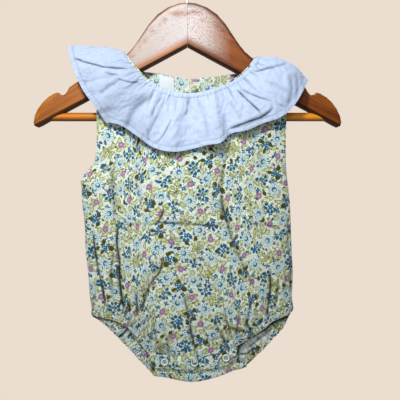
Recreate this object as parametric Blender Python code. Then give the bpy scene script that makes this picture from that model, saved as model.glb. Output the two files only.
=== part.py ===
"""Baby romper with a white ruffle collar, hanging on a wooden clothes hanger.

Frame: X to the viewer's right, the garment's front faces -Y, +Z up. The origin is the inside top of
the hanger's hook. All sizes and tables are in millimetres; to_metres() converts when a mesh is made.

Each cloth piece is a grid of points through sections of the garment, the middle of its wall.
"""

import math

import bmesh
import bpy
import numpy as np
from mathutils import Vector
from mathutils.bvhtree import BVHTree

# ---------------------------------------------------------------- driving dimensions, mm
WALL = 1.6  # cloth wall
SEAM_GAP = 0.3  # between pieces that are sewn or laid together
LAYER = WALL + SEAM_GAP  # from one layer's middle to the next layer's middle

HANGER_THICKNESS = 13.2
HANGER_ROUNDING = 3.0
ARM_SLOPE = 0.532  # fall of an arm's top edge for each millimetre outwards
ARM_START_X, ARM_START_Z = 80.7, -125.7  # where an arm's straight top edge begins
BAR_DIAMETER = 10.8
BAR_Z = -198.8
BAR_HALF_LENGTH = 174.0
BORE_HALF_LENGTH = 177.0
BORE_CLEARANCE = 0.3
HOOK_WIRE = 3.4
HOOK_INNER_RADIUS = 17.5
HOOK_STEM_END_Z = -72.0
HOOK_SIDES = 12
HOOK_HOLE_CLEARANCE = 0.3

NECK_LEFT_X, NECK_RIGHT_X = -77.5, 84.3  # ends of the panels' neckline, over the arms
NECK_DEPTH = 13.4  # half the neck ring's depth, front to back
NECK_SQUARENESS = 12  # exponent of the ring's superellipse in plan
SHOULDER_ROUNDING = 7.0  # height over which a shoulder turns over the arm
SHOULDER_ROWS = (0.0, 0.6, 1.7, 3.6)  # distances from the upper edge of the rows within that height
PLACKET_WIDTH = 15.0
CROTCH_TURN = 4.6  # height over which the back placket turns under the crotch
SLIT_DEPTH = 62.0
SLIT_GAP = 2.4
SNAP_DIAMETER, SNAP_WIRE = 9.2, 1.2
BUTTON_DIAMETER, BUTTON_THICKNESS = 9.0, 2.0
LABEL_LEFT_X, LABEL_RIGHT_X, LABEL_HEIGHT, LABEL_WALL = -35.6, -17.3, 20.0, 1.0
BACK_SEAM_X = 3.1  # centre back: the slit and the collar's ends

SIDE_COLUMN = 0.998  # the column beside a side seam, where the panel turns square to it
COLLAR_COLUMNS = 144
COLLAR_GATHERS = 44
LEG_GATHERS = 20
LEG_FRONT_COLUMNS, LEG_BACK_COLUMNS = 30, 34

# ---------------------------------------------------------------- tables, mm
# Outline of the body: height, left edge, right edge.
BODY_EDGES = (
    (-535.0, -41.0, 71.0),
    (-523.8, -41.0, 71.0),
    (-517.0, -46.0, 71.0),
    (-510.0, -51.9, 73.9),
    (-501.9, -59.9, 81.8),
    (-492.5, -68.1, 90.6),
    (-483.1, -76.9, 99.5),
    (-473.0, -86.9, 108.6),
    (-462.5, -96.9, 118.6),
    (-454.2, -106.9, 123.1),
    (-449.6, -113.5, 125.3),
    (-445.0, -119.6, 127.4),
    (-439.0, -119.9, 131.6),
    (-425.0, -121.9, 130.9),
    (-395.0, -124.4, 131.9),
    (-365.0, -127.6, 130.6),
    (-335.0, -128.6, 129.4),
    (-305.0, -131.9, 128.1),
    (-276.0, -133.1, 124.9),
    (-265.0, -123.7, 123.4),
    (-255.0, -116.3, 122.6),
    (-240.0, -113.5, 122.2),
    (-194.0, -112.9, 123.2),
    (-143.0, -112.9, 123.2),
    (-110.0, -112.9, 123.2),
)
# Depth of the body's middle line and of its side edge: height, front, back, side edge.
BODY_DEPTHS = (
    (-535.0, 8.0, 2.6, 0.15),
    (-512.0, 9.0, 5.5, 0.15),
    (-495.0, 9.8, 9.0, 0.15),
    (-480.0, 12.5, 13.0, 0.15),
    (-460.0, 16.5, 17.0, 0.15),
    (-440.0, 19.0, 20.0, 0.15),
    (-410.0, 21.0, 22.0, 0.15),
    (-360.0, 22.0, 22.0, 0.15),
    (-310.0, 20.5, 20.0, 0.15),
    (-277.0, 19.0, 18.2, 0.15),
    (-262.0, 18.5, 17.4, 3.6),
    (-248.0, 17.8, 16.8, 7.2),
    (-232.0, 17.0, 16.0, 9.3),
    (-190.0, 15.0, 14.6, 9.3),
    (-165.0, 14.0, 13.8, 9.3),
    (-140.0, 12.0, 12.4, 9.3),
    (-110.0, 10.5, 10.5, 9.3),
)
BODY_FLATNESS = 0.4  # exponent of the body's cross-section: smaller is boxier
ARMHOLE_FLATNESS = 0.9  # the same at the armholes, where the edge stands off the middle plane
HIP_Z = -438.0  # below the hips the front panel's columns run straight down
# Necklines from the left end to the right end: across, height.
FRONT_NECKLINE = (
    (-77.5, -118.6),
    (-76.3, -120.8),
    (-74.5, -124.2),
    (-70.0, -131.0),
    (-66.4, -136.3),
    (-60.8, -141.6),
    (-54.6, -148.4),
    (-48.4, -155.2),
    (-40.9, -160.6),
    (-33.5, -164.4),
    (-23.7, -167.5),
    (-12.6, -170.3),
    (0.9, -171.9),
    (14.4, -170.8),
    (26.7, -167.9),
    (37.7, -164.2),
    (48.8, -159.1),
    (58.7, -153.2),
    (67.3, -146.5),
    (74.8, -139.0),
    (79.5, -132.6),
    (82.0, -128.9),
    (84.3, -124.2),
)
BACK_NECKLINE = (
    (-77.5, -118.6),
    (-76.3, -120.8),
    (-74.5, -124.2),
    (-68.0, -133.2),
    (-58.0, -139.8),
    (-40.3, -142.0),
    (-20.0, -146.3),
    (1.6, -149.3),
    (4.6, -149.3),
    (23.3, -147.2),
    (43.6, -145.0),
    (61.3, -143.0),
    (73.9, -138.6),
    (79.5, -132.6),
    (82.0, -128.9),
    (84.3, -124.2),
)
# Shoulder seams, from the tip to the neck: across, height.
LEFT_SHOULDER = ((-112.9, -140.6), (-90.0, -128.4), (-84.0, -124.6), (-77.5, -118.6))
RIGHT_SHOULDER = ((84.3, -124.2), (90.0, -128.2), (97.0, -132.2), (123.2, -146.1))
# Lower edge of the front panel, left to right: across, height. The first two corners of the crotch
# seam are named below.
FRONT_LOWER_EDGE = (
    (-121.0, -437.4),
    (-117.1, -437.8),
    (-111.8, -439.2),
    (-104.1, -440.3),
    (-90.9, -442.4),
    (-78.0, -446.6),
    (-67.7, -453.8),
    (-59.2, -462.7),
    (-52.1, -474.4),
    (-46.8, -481.7),
    (-40.2, -489.5),
    (-38.5, -494.2),
    (-15.3, -494.2),
    (11.9, -495.4),
    (32.9, -492.9),
    (46.0, -488.5),
    (55.8, -483.8),
    (63.0, -474.5),
    (75.6, -464.0),
    (86.0, -457.3),
    (91.4, -453.7),
    (99.5, -446.3),
    (112.3, -440.5),
    (124.1, -436.8),
    (131.4, -432.5),
)
CROTCH_LEFT_X, CROTCH_RIGHT_X = -38.5, 55.8
# Free edge of the leg casings in front, from the crotch to the hip: across, height.
LEFT_LEG_LINE = (
    (-46.1, -494.4),
    (-53.0, -486.8),
    (-58.8, -478.8),
    (-65.6, -467.5),
    (-72.9, -459.9),
    (-81.5, -453.8),
    (-92.7, -450.2),
    (-105.3, -448.2),
    (-113.4, -447.0),
    (-118.6, -445.4),
)
RIGHT_LEG_LINE = (
    (63.8, -481.0),
    (79.7, -470.9),
    (90.4, -464.0),
    (96.5, -459.9),
    (103.8, -453.0),
    (115.1, -448.0),
    (125.4, -444.6),
    (129.6, -440.8),
)
# How far the leg casings turn forward behind that edge: share of the way from the hip to the crotch,
# left width, right width, depth of the free edge in front of the middle plane.
LEG_TURN = (
    (0.00, 7.7, 7.7, 0.9),
    (0.06, 5.2, 5.2, 1.0),
    (0.12, 4.2, 4.8, 1.4),
    (0.24, 8.5, 9.0, 2.4),
    (0.40, 15.0, 14.5, 3.4),
    (0.65, 20.0, 19.0, 3.4),
    (1.00, 13.0, 13.0, 3.4),
)
# Lower edge of the crotch, left to right: across, height.
CROTCH_BOTTOM = (
    (-41.0, -523.0),
    (-28.6, -524.2),
    (-16.2, -526.8),
    (-3.8, -529.2),
    (8.6, -530.0),
    (20.6, -528.0),
    (33.1, -524.8),
    (45.6, -520.6),
    (58.1, -515.4),
    (71.0, -512.6),
)
# Lower edge of the front placket: across, height.
PLACKET_BOTTOM = (
    (-46.0, -509.5),
    (-15.3, -511.2),
    (11.9, -511.9),
    (32.9, -510.0),
    (50.2, -505.1),
    (62.5, -497.5),
)
# Snaps: across, height of the centre.
SNAPS = ((-28.1, -502.6), (8.7, -503.4), (47.7, -497.2))
# Largest folds of the body: side (-1 front, 1 back), upper end x and z, lower end x and z, depth
# (positive folds in, negative stands out), half-width.
BODY_FOLDS = (
    (-1, -117.6, -346.0, -102.3, -431.0, 2.6, 6.5),
    (-1, -88.0, -335.0, -79.4, -444.0, 3.4, 7.0),
    (-1, -66.0, -330.0, -60.0, -430.0, -1.6, 9.0),
    (-1, -29.6, -375.0, -64.4, -444.0, 2.6, 7.0),
    (-1, -4.9, -421.0, 12.8, -494.0, 2.6, 7.0),
    (-1, 103.6, -389.0, 99.4, -447.0, 2.8, 6.5),
    (-1, 41.5, -302.0, 79.4, -416.0, 2.4, 11.0),
    (-1, 62.0, -410.0, 44.0, -480.0, 2.2, 8.0),
    (-1, 118.0, -330.0, 119.0, -430.0, 1.6, 7.0),
    (-1, -96.9, -259.0, -90.6, -334.0, 2.0, 10.0),
    (-1, 43.0, -240.0, 40.0, -330.0, 2.0, 12.0),
    (-1, -10.0, -260.0, -22.0, -350.0, -1.8, 14.0),
    (1, -104.0, -330.0, -96.0, -440.0, 2.8, 7.0),
    (1, -70.0, -350.0, -62.0, -460.0, 3.0, 8.0),
    (1, -28.0, -390.0, -30.0, -490.0, 2.2, 8.0),
    (1, 30.0, -380.0, 34.0, -495.0, 2.4, 8.0),
    (1, 74.0, -340.0, 68.0, -455.0, 3.2, 8.0),
    (1, 108.0, -340.0, 100.0, -440.0, 2.6, 7.0),
    (1, -55.0, -230.0, -60.0, -320.0, 2.0, 12.0),
    (1, 62.0, -225.0, 56.0, -315.0, 2.2, 12.0),
)
# Collar sections, from the centre back over the left shoulder, the front and the right shoulder to the
# centre back: side (1 back, 0 shoulder, -1 front), neck x and z, hem x, y and z, arch of the ruffle.
COLLAR = (
    (1, 1.9, -148.3, 1.3, 24.0, -226.0, 1.0),
    (1, -8.0, -147.6, -13.0, 28.5, -226.5, 2.0),
    (1, -20.0, -145.5, -30.0, 23.0, -224.0, 1.0),
    (1, -31.0, -142.6, -47.0, 28.0, -219.0, 2.0),
    (1, -41.0, -141.0, -62.0, 22.5, -211.0, 1.0),
    (1, -50.0, -140.0, -76.0, 27.5, -205.0, 2.5),
    (1, -58.0, -138.6, -90.0, 22.0, -197.0, 1.5),
    (1, -65.0, -134.3, -104.0, 25.0, -184.0, 2.5),
    (1, -71.0, -128.6, -118.0, 22.0, -167.0, 2.5),
    (1, -78.2, -118.4, -134.0, 17.0, -141.0, 3.0),
    (0, -79.8, -116.2, -148.4, -1.0, -111.4, 2.5),
    (-1, -78.4, -117.8, -143.0, -17.0, -131.0, 2.5),
    (-1, -73.5, -124.9, -136.3, -22.0, -148.1, 3.5),
    (-1, -67.6, -133.8, -129.3, -23.0, -163.7, 4.5),
    (-1, -60.8, -140.6, -121.2, -27.0, -176.6, 5.5),
    (-1, -54.6, -147.4, -109.9, -26.0, -190.9, 6.0),
    (-1, -48.4, -154.2, -97.6, -19.5, -206.0, 5.0),
    (-1, -40.9, -159.6, -79.3, -25.0, -212.6, 3.0),
    (-1, -33.5, -163.4, -60.4, -29.5, -225.3, 4.0),
    (-1, -23.7, -166.5, -41.1, -25.5, -238.5, 2.0),
    (-1, -12.6, -169.3, -18.1, -30.5, -244.2, 3.0),
    (-1, 0.9, -170.9, 3.9, -23.5, -241.0, 1.0),
    (-1, 14.4, -169.8, 22.9, -29.0, -236.6, 3.0),
    (-1, 26.7, -166.9, 40.5, -31.5, -233.6, 4.0),
    (-1, 37.7, -163.2, 52.1, -22.0, -222.3, 2.0),
    (-1, 48.8, -158.1, 71.4, -25.5, -218.2, 3.5),
    (-1, 58.7, -152.2, 91.9, -23.5, -209.5, 4.0),
    (-1, 67.3, -145.5, 112.5, -27.5, -202.6, 5.0),
    (-1, 74.8, -138.5, 126.0, -25.0, -192.2, 6.5),
    (-1, 80.4, -131.6, 137.3, -22.0, -175.9, 8.0),
    (-1, 85.4, -124.0, 144.6, -14.0, -162.5, 9.0),
    (0, 87.0, -122.0, 149.2, -1.0, -152.9, 9.5),
    (1, 85.4, -124.0, 142.5, 14.0, -165.0, 8.0),
    (1, 80.4, -131.6, 132.0, 20.0, -180.0, 6.0),
    (1, 73.9, -137.8, 119.0, 26.0, -195.0, 4.0),
    (1, 66.0, -141.0, 104.0, 22.0, -204.0, 2.5),
    (1, 57.0, -142.3, 86.0, 27.0, -212.0, 2.5),
    (1, 46.0, -143.8, 69.0, 22.5, -217.0, 1.5),
    (1, 35.0, -145.0, 52.0, 28.0, -222.0, 2.0),
    (1, 23.3, -146.2, 35.0, 23.0, -224.5, 1.0),
    (1, 12.0, -147.6, 18.0, 28.0, -226.5, 2.0),
    (1, 4.3, -148.3, 4.9, 24.0, -226.0, 1.0),
)
COLLAR_ROWS = (0.0, 3.6, 8.0, 18.0, 33.0, 51.0, 70.0)  # distances from the inner edge
COLLAR_BAND = 7.0  # width of the gathered casing at the inner edge
# One arm of the hanger, seen from the front, from the top of the joint round to its underside:
# distance from the middle, height.
ARM_OUTLINE = (
    (0.15, -56.8),
    (10.5, -57.9),
    (24.3, -63.0),
    (37.1, -71.7),
    (48.0, -84.1),
    (58.7, -100.2),
    (66.0, -110.8),
    (72.5, -118.6),
    (80.7, -125.7),
    (110.0, -141.3),
    (139.0, -156.7),
    (147.0, -162.5),
    (149.0, -166.4),
    (151.4, -170.1),
    (154.5, -172.1),
    (157.6, -171.2),
    (160.3, -168.7),
    (165.7, -170.0),
    (172.9, -174.4),
    (179.9, -180.8),
    (186.0, -189.1),
    (189.7, -197.4),
    (191.4, -206.3),
    (190.1, -210.5),
    (186.6, -211.8),
    (181.4, -209.5),
    (167.0, -201.3),
    (115.0, -173.3),
    (60.0, -143.7),
    (0.15, -111.4),
)

# ---------------------------------------------------------------- materials: colour, roughness, metallic
FINISHES = {
    "floral_cotton": ((0.62, 0.69, 0.60), 0.9, 0.0),
    "white_cotton": ((0.72, 0.80, 0.92), 0.9, 0.0),
    "label_satin": ((0.86, 0.88, 0.90), 0.6, 0.0),
    "clear_plastic": ((0.85, 0.92, 0.96), 0.25, 0.0),
    "varnished_wood": ((0.42, 0.17, 0.04), 0.28, 0.0),
    "bar_wood": ((0.50, 0.22, 0.05), 0.25, 0.0),
    "hook_steel": ((0.72, 0.72, 0.72), 0.25, 1.0),
}


def to_metres(points):
    return np.asarray(points, float) * 0.001


def clear_scene():
    for thing in list(bpy.data.objects):
        bpy.data.objects.remove(thing, do_unlink=True)


def finish(name):
    """The material of that name, made once."""
    found = bpy.data.materials.get(name)
    if found:
        return found
    colour, roughness, metallic = FINISHES[name]
    material = bpy.data.materials.new(name)
    material.use_nodes = True
    shader = material.node_tree.nodes["Principled BSDF"]
    shader.inputs["Base Color"].default_value = (*colour, 1.0)
    shader.inputs["Roughness"].default_value = roughness
    shader.inputs["Metallic"].default_value = metallic
    return material


def place(name, data, material):
    thing = bpy.data.objects.new(name, data)
    bpy.context.scene.collection.objects.link(thing)
    data.materials.append(finish(material))
    return thing


# ---------------------------------------------------------------- curves through tables
def smooth(table, at, column=1, key=0):
    """A table's column at the given keys, on a smooth curve through its rows."""
    rows = np.asarray(table, float)
    return smooth_through(rows[:, key], rows[:, column], at)


def smooth_through(knots, values, at):
    """Cubic Hermite curve with slopes from the neighbouring rows."""
    slopes = np.gradient(values, knots, axis=0)
    at = np.clip(at, knots[0], knots[-1])
    i = np.clip(np.searchsorted(knots, at, side="right") - 1, 0, len(knots) - 2)
    step = knots[i + 1] - knots[i]
    t = (at - knots[i]) / step
    if values.ndim > 1:
        t, step = t[..., None], step[..., None]
    start = (1 + 2 * t) * (1 - t) ** 2 * values[i] + t * (1 - t) ** 2 * step * slopes[i]
    end = t**2 * (3 - 2 * t) * values[i + 1] - t**2 * (1 - t) * step * slopes[i + 1]
    return start + end


def straight(table, at):
    """Second column of a table at the given first column, on straight lines through its rows."""
    rows = np.asarray(table, float)
    return np.interp(at, rows[:, 0], rows[:, 1])


def along(points, shares):
    """Points at the given shares of a polyline's length."""
    points = np.asarray(points, float)
    lengths = np.concatenate([[0.0], np.cumsum(np.linalg.norm(np.diff(points, axis=0), axis=1))])
    lengths /= lengths[-1]
    return np.stack([np.interp(shares, lengths, points[:, k]) for k in range(points.shape[1])], axis=1)


def unit(vectors):
    return vectors / np.linalg.norm(vectors, axis=-1, keepdims=True)


# ---------------------------------------------------------------- cloth sheets
def middle_surface(grids):
    """Quads through grids of points (rows, columns, xyz), welded where the grids meet."""
    bm = bmesh.new()
    for grid in grids:
        rows, columns = grid.shape[:2]
        corner = [[bm.verts.new(point) for point in row] for row in to_metres(grid)]
        for r in range(rows - 1):
            for c in range(columns - 1):
                bm.faces.new((corner[r][c], corner[r][c + 1], corner[r + 1][c + 1], corner[r + 1][c]))
    bmesh.ops.remove_doubles(bm, verts=bm.verts, dist=0.000005)
    bm.normal_update()
    bm.verts.index_update()
    return bm


def sheet(name, grids, material, wall=WALL, side=0):
    """One cloth piece: its wall laid evenly to both sides of the middle surface. A piece of the front
    (side -1) or the back (side 1) keeps half a seam gap away from the middle plane."""
    bm = middle_surface(grids)
    middle = np.array([v.co for v in bm.verts]) * 1000
    normals = np.array([v.normal for v in bm.verts])
    points = np.concatenate([middle + normals * wall / 2, middle - normals * wall / 2])
    if side:
        points[:, 1] = side * np.maximum(side * points[:, 1], SEAM_GAP / 2)
    count = len(middle)
    faces = []
    for face in bm.faces:
        corners = [v.index for v in face.verts]
        faces.append(corners)
        faces.append([count + i for i in reversed(corners)])
    for edge in bm.edges:
        if edge.is_boundary:
            loop = edge.link_loops[0]
            a, b = loop.vert.index, loop.link_loop_next.vert.index
            faces.append([b, a, count + a, count + b])
    bm.free()
    mesh = bpy.data.meshes.new(name)
    mesh.from_pydata(to_metres(points), [], faces)
    mesh.shade_smooth()
    mesh.set_sharp_from_angle(angle=math.radians(60))
    return place(name, mesh, material)


# ---------------------------------------------------------------- the body's surface
def across(share, z):
    """x at a share of the width, -1 at the left edge and 1 at the right edge, at height z."""
    left = smooth(BODY_EDGES, z, 1) + WALL / 2
    right = smooth(BODY_EDGES, z, 2) - WALL / 2
    return (left + right) / 2 + share * (right - left) / 2


def share_of_width(x, z):
    left, right = across(-1.0, z), across(1.0, z)
    return np.clip((2 * x - left - right) / (right - left), -1.0, 1.0)


def top_height(x, side):
    """Height of the panel's upper edge: shoulder, neckline, shoulder."""
    neckline = FRONT_NECKLINE if side < 0 else BACK_NECKLINE
    return straight(LEFT_SHOULDER[:-1] + neckline + RIGHT_SHOULDER[1:], x)


def neck_depth(x, outwards=0.0):
    """Depth of the neck ring at x, a superellipse in plan; outwards widens it on all sides."""
    middle = (NECK_LEFT_X + NECK_RIGHT_X) / 2
    half = (NECK_RIGHT_X - NECK_LEFT_X) / 2 + outwards
    share = np.clip(np.abs(x - middle) / half, 0.0, 1.0)
    return (NECK_DEPTH + outwards) * np.sqrt(1 - share**NECK_SQUARENESS)


def folds(x, z, side):
    """How far the largest folds draw the cloth in at x and z."""
    total = np.zeros(np.broadcast(x, z).shape)
    for fold_side, x0, z0, x1, z1, depth, half_width in BODY_FOLDS:
        if fold_side != side:
            continue
        length = math.hypot(x1 - x0, z1 - z0)
        run_x, run_z = (x1 - x0) / length, (z1 - z0) / length
        ahead = (x - x0) * run_x + (z - z0) * run_z
        aside = (x - x0) * run_z - (z - z0) * run_x
        fade = np.clip(ahead / 25 + 0.5, 0, 1) * np.clip((length - ahead) / 25 + 0.5, 0, 1)
        total += depth * fade * np.exp(-((aside / half_width) ** 2))
    return total


def body_depth(x, z, side):
    """Distance of the panel's middle surface from the middle plane."""
    share = share_of_width(x, z)
    middle = smooth(BODY_DEPTHS, z, 1 if side < 0 else 2)
    edge = np.maximum(smooth(BODY_DEPTHS, z, 3), SEAM_GAP / 2)
    open_edge = np.clip((edge - SEAM_GAP / 2) / 9.0, 0, 1)
    swell = (1 - share**2) ** (BODY_FLATNESS + (ARMHOLE_FLATNESS - BODY_FLATNESS) * open_edge)
    depth = edge + (middle - edge - folds(x, z, side)) * swell
    seam = np.maximum(neck_depth(x), SEAM_GAP / 2)
    turned = np.clip((top_height(x, side) - z) / SHOULDER_ROUNDING, 0, 1)
    return seam + (depth - seam) * (1 - (1 - turned) ** 3) ** (1 / 3)


def body_point(x, z, side):
    return np.stack([x + 0 * z, side * body_depth(x, z, side), z + 0 * x], axis=-1)


def column_shares():
    """Shares of the width for the panels' columns: close together at the sides and at the neck ends."""
    z = -130.0
    left_end, right_end = share_of_width(NECK_LEFT_X, z), share_of_width(NECK_RIGHT_X, z)
    turn = np.sin(np.linspace(0.5, 0.0, 6) * math.pi)
    turn = np.insert(turn, 1, SIDE_COLUMN)
    left = left_end + (-1 - left_end) * turn
    right = right_end + (1 - right_end) * turn[::-1]
    steps = (1.8, 4.2, 9.0)
    near_left = [share_of_width(NECK_LEFT_X + s, z) for s in steps]
    near_right = [share_of_width(NECK_RIGHT_X - s, z) for s in reversed(steps)]
    seam = share_of_width(BACK_SEAM_X, z)
    inner_left = np.linspace(near_left[-1], seam, 9)[1:]
    inner_right = np.linspace(seam, near_right[0], 9)[1:-1]
    return np.concatenate([left, near_left, inner_left, inner_right, near_right, right])


def panel_grid(side, lower_edge, rows_below, narrowest_z):
    """Points of a panel: a column for each share of the width, from the upper to the lower edge; below
    narrowest_z the columns no longer follow the outline."""
    shares = column_shares()
    top = np.full(len(shares), -140.0)
    for _ in range(8):
        top = top_height(across(shares, top), side)
    high, low = np.full(len(shares), -400.0), np.full(len(shares), -534.0)
    for _ in range(40):
        middle = (high + low) / 2
        above = middle > straight(lower_edge, across(shares, np.maximum(middle, narrowest_z)))
        high, low = np.where(above, middle, high), np.where(above, low, middle)
    fine = np.array(SHOULDER_ROWS)
    rest = np.linspace(0, 1, rows_below)[:, None]
    z = np.concatenate([top - fine[:, None], (top - SHOULDER_ROUNDING) * (1 - rest) + low * rest])
    return body_point(across(shares, np.maximum(z, narrowest_z)), z, side)


def front_panel_grid():
    return panel_grid(-1, FRONT_LOWER_EDGE, 22, HIP_Z)


def back_panel_grid():
    raised = [(x, z + CROTCH_TURN) for x, z in CROTCH_BOTTOM]
    return panel_grid(1, raised, 23, BODY_EDGES[0][0])


def make_front_panel():
    sheet("front_panel", [front_panel_grid()], "floral_cotton", side=-1)


def make_back_panel():
    """One panel, with its slit open from the neck and closing towards its lower end."""
    grid = back_panel_grid()
    seam = int(np.argmin(np.abs(grid[0, :, 0] - BACK_SEAM_X)))
    below_top = grid[0, seam, 2] - grid[:, seam, 2]
    opening = SLIT_GAP / 2 * np.clip(1 - below_top / SLIT_DEPTH, 0, 1)
    opening = np.where(opening > 0, np.maximum(opening, WALL * 0.35), 0)
    left, right = grid[:, : seam + 1].copy(), grid[:, seam:].copy()
    left[:, -1, 0] -= opening
    right[:, 0, 0] += opening
    sheet("back_panel", [left, right], "floral_cotton", side=1)


# ---------------------------------------------------------------- collar
def collar_sections(columns):
    """Neck points and hem points of the collar at evenly spaced columns, and its arch."""
    rows = np.asarray(COLLAR, float)
    side, neck_x, neck_z = rows[:, 0], rows[:, 1], rows[:, 2]
    hem = rows[:, 3:6]
    depth = side * neck_depth(neck_x, LAYER)
    neck = np.stack([neck_x, depth, neck_z], axis=1)
    spacing = np.linalg.norm(np.diff(hem, axis=0), axis=1) + 8.0
    knots = np.concatenate([[0.0], np.cumsum(spacing)])
    at = np.linspace(0, knots[-1], columns)
    return (
        smooth_through(knots, neck, at),
        smooth_through(knots, hem, at),
        smooth_through(knots, rows[:, 6], at),
        at / knots[-1],
    )


def panel_surface(side):
    """A panel's middle surface, to measure distances from."""
    grid = front_panel_grid() if side < 0 else back_panel_grid()
    rows, columns = grid.shape[:2]
    index = np.arange(rows * columns).reshape(rows, columns)
    faces = np.stack([index[:-1, :-1], index[:-1, 1:], index[1:, 1:], index[1:, :-1]], axis=-1)
    return BVHTree.FromPolygons(grid.reshape(-1, 3).tolist(), faces.reshape(-1, 4).tolist())


def beneath(point, side):
    """Whether a point lies behind the panel, towards the middle plane."""
    x, y, z = point
    if x < across(-1.0, z) or x > across(1.0, z) or z > top_height(x, side):
        return False
    return side * y < body_depth(x, z, side)


def pushed_out(points, spacing):
    """Moves points that are nearer to the panels or the hanger's arms than the given distance: up at
    the neck's ends, straight out elsewhere."""
    moved = points.copy()
    for side in (-1, 1):
        surface = panel_surface(side)
        for at in np.ndindex(moved.shape[:2]):
            point = Vector(moved[at])
            if side * point.y < -1.0:
                continue
            over_shoulder = not NECK_LEFT_X + 4 < point.x < NECK_RIGHT_X - 4
            found, _, _, distance = surface.find_nearest(point)
            away = (point - found).normalized()
            if beneath(point, side):
                away, distance = -away, -distance
            if over_shoulder and point.z > top_height(point.x, side) - SHOULDER_ROUNDING:
                while beneath(point, side) or distance < spacing:
                    point.z += 0.2
                    distance = surface.find_nearest(point)[3]
                moved[at] = point
            elif distance < spacing:
                moved[at] = found + away * spacing
    x, y, z = moved[..., 0], moved[..., 1], moved[..., 2]
    arm_top = ARM_START_Z - ARM_SLOPE * (np.abs(x) - ARM_START_X)
    beside_arm = (np.abs(x) > ARM_START_X) & (z < arm_top + 1.5) & (np.abs(y) > 1.0)
    least = HANGER_THICKNESS / 2 + spacing
    moved[..., 1] = np.where(beside_arm, np.sign(y) * np.maximum(np.abs(y), least), y)
    return moved


def clear_of_body(points, spacing):
    """Pushes a grid's points out, and their neighbours along the rows a little with them."""
    shift = pushed_out(points, spacing) - points
    shift[:, 1:-1] = (shift[:, :-2] + 2 * shift[:, 1:-1] + shift[:, 2:]) / 4
    return pushed_out(points + shift, spacing)


def collar_grid():
    neck, hem, arch, share = collar_sections(COLLAR_COLUMNS + 1)
    run = hem - neck
    width = np.linalg.norm(run, axis=1)
    down = unit(run)
    out = unit(-np.cross(np.gradient(neck + hem, axis=0), down))
    gather = 0.5 + 0.5 * np.sin(2 * math.pi * COLLAR_GATHERS * share)
    rows = []
    for distance in COLLAR_ROWS:
        reach = distance / COLLAR_ROWS[-1]
        free = max(0.0, (distance - COLLAR_BAND) / (COLLAR_ROWS[-1] - COLLAR_BAND))
        ripple = 1.0 * math.exp(-((max(0.0, distance - 9.0) / 16.0) ** 2)) * gather
        puff = 1.4 * math.exp(-(((distance - 13.0) / 6.0) ** 2))
        lift = arch * 4 * free * (1 - free) + ripple + puff
        rows.append(neck + down * (width * reach)[:, None] + out * lift[:, None])
    return clear_of_body(np.array(rows), LAYER + 0.9)


def make_collar():
    sheet("ruffle_collar", [collar_grid()], "white_cotton")


# ---------------------------------------------------------------- leg casings
def leg_band_grid(side_sign, leg_line, turn_column):
    """A ring round one leg, open at the crotch: its first half hangs from the front panel's lower edge,
    its second half turns forward from the back panel's edge."""
    front, back = front_panel_grid(), back_panel_grid()
    crotch_x = CROTCH_LEFT_X if side_sign < 0 else CROTCH_RIGHT_X
    lower = front[-1]
    outer = lower[np.sign(lower[:, 0] - crotch_x) == side_sign]
    start = [crotch_x, np.interp(crotch_x, lower[:, 0], lower[:, 1]), straight(FRONT_LOWER_EDGE, crotch_x)]
    sewn = np.array([start, *(outer[::-1] if side_sign < 0 else outer)])
    shares = np.linspace(0, 1, LEG_FRONT_COLUMNS)
    sewn = along(sewn, shares)
    free_xz = along(leg_line, shares)
    free = body_point(free_xz[:, 0], free_xz[:, 1], -1)
    sewn += unit(free - sewn) * SEAM_GAP * 1.6
    front_rows = [sewn + (free - sewn) * share for share in (0.0, 0.33, 0.67, 1.0)]

    edge = back[:, 0] if side_sign < 0 else back[:, -1]
    hip = sewn[-1]
    below = edge[edge[:, 2] < hip[2] - 2.0]
    path = np.array([hip, *below])
    path[:, 1] = -SEAM_GAP / 2
    shares = np.linspace(0, 1, LEG_BACK_COLUMNS + 1)[1:]
    fold = along(path, shares)
    ahead = unit(np.gradient(fold, axis=0))
    inwards = np.stack([ahead[:, 2], np.zeros(len(fold)), -ahead[:, 0]], axis=1) * side_sign
    settle = np.clip((shares - 0.78) / 0.22, 0, 1)[:, None]
    inwards = unit(inwards * (1 - settle) + np.array([0.0, 0.0, 1.0]) * settle)
    begin = np.clip(1 - shares / 0.13, 0, 1)[:, None]
    inwards = unit(inwards * (1 - begin) + np.array([0.0, 0.0, -1.0]) * begin)
    width = smooth(LEG_TURN, shares, turn_column)
    depth = smooth(LEG_TURN, shares, 3)
    back_rows = []
    for inward_share, depth_share in ((0.0, 0.0), (0.0, 0.45), (0.3, 0.95), (1.0, 1.0)):
        moved = fold + inwards * (width * inward_share)[:, None]
        moved[:, 1] -= depth * depth_share
        back_rows.append(moved)

    grid = np.concatenate([np.array(front_rows), np.array(back_rows)], axis=1)
    ring = np.linspace(0, 1, grid.shape[1])
    calm = np.clip(np.abs(ring - len(sewn) / grid.shape[1]) / 0.08, 0, 1) * np.clip((1 - ring) / 0.08, 0, 1)
    ripple = 0.5 * calm * np.sin(2 * math.pi * LEG_GATHERS * ring)
    toward = unit(np.gradient(grid, axis=0))
    ahead = unit(np.gradient(grid, axis=1))
    out = unit(np.cross(toward, ahead))
    weight = np.array([0.0, 0.8, 1.0, 0.7])[:, None, None]
    return grid + out * ripple[None, :, None] * weight


def make_leg_bands():
    sheet("leg_casing_left", [leg_band_grid(-1, LEFT_LEG_LINE, 1)], "floral_cotton", side=-1)
    sheet("leg_casing_right", [leg_band_grid(1, RIGHT_LEG_LINE, 2)], "floral_cotton", side=-1)


# ---------------------------------------------------------------- crotch
def placket_top(x):
    """Point on the front panel's crotch seam at x."""
    lower = front_panel_grid()[-1]
    y, z = np.interp(x, lower[:, 0], lower[:, 1]), np.interp(x, lower[:, 0], lower[:, 2])
    return y, z - SEAM_GAP - 0.4


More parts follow.
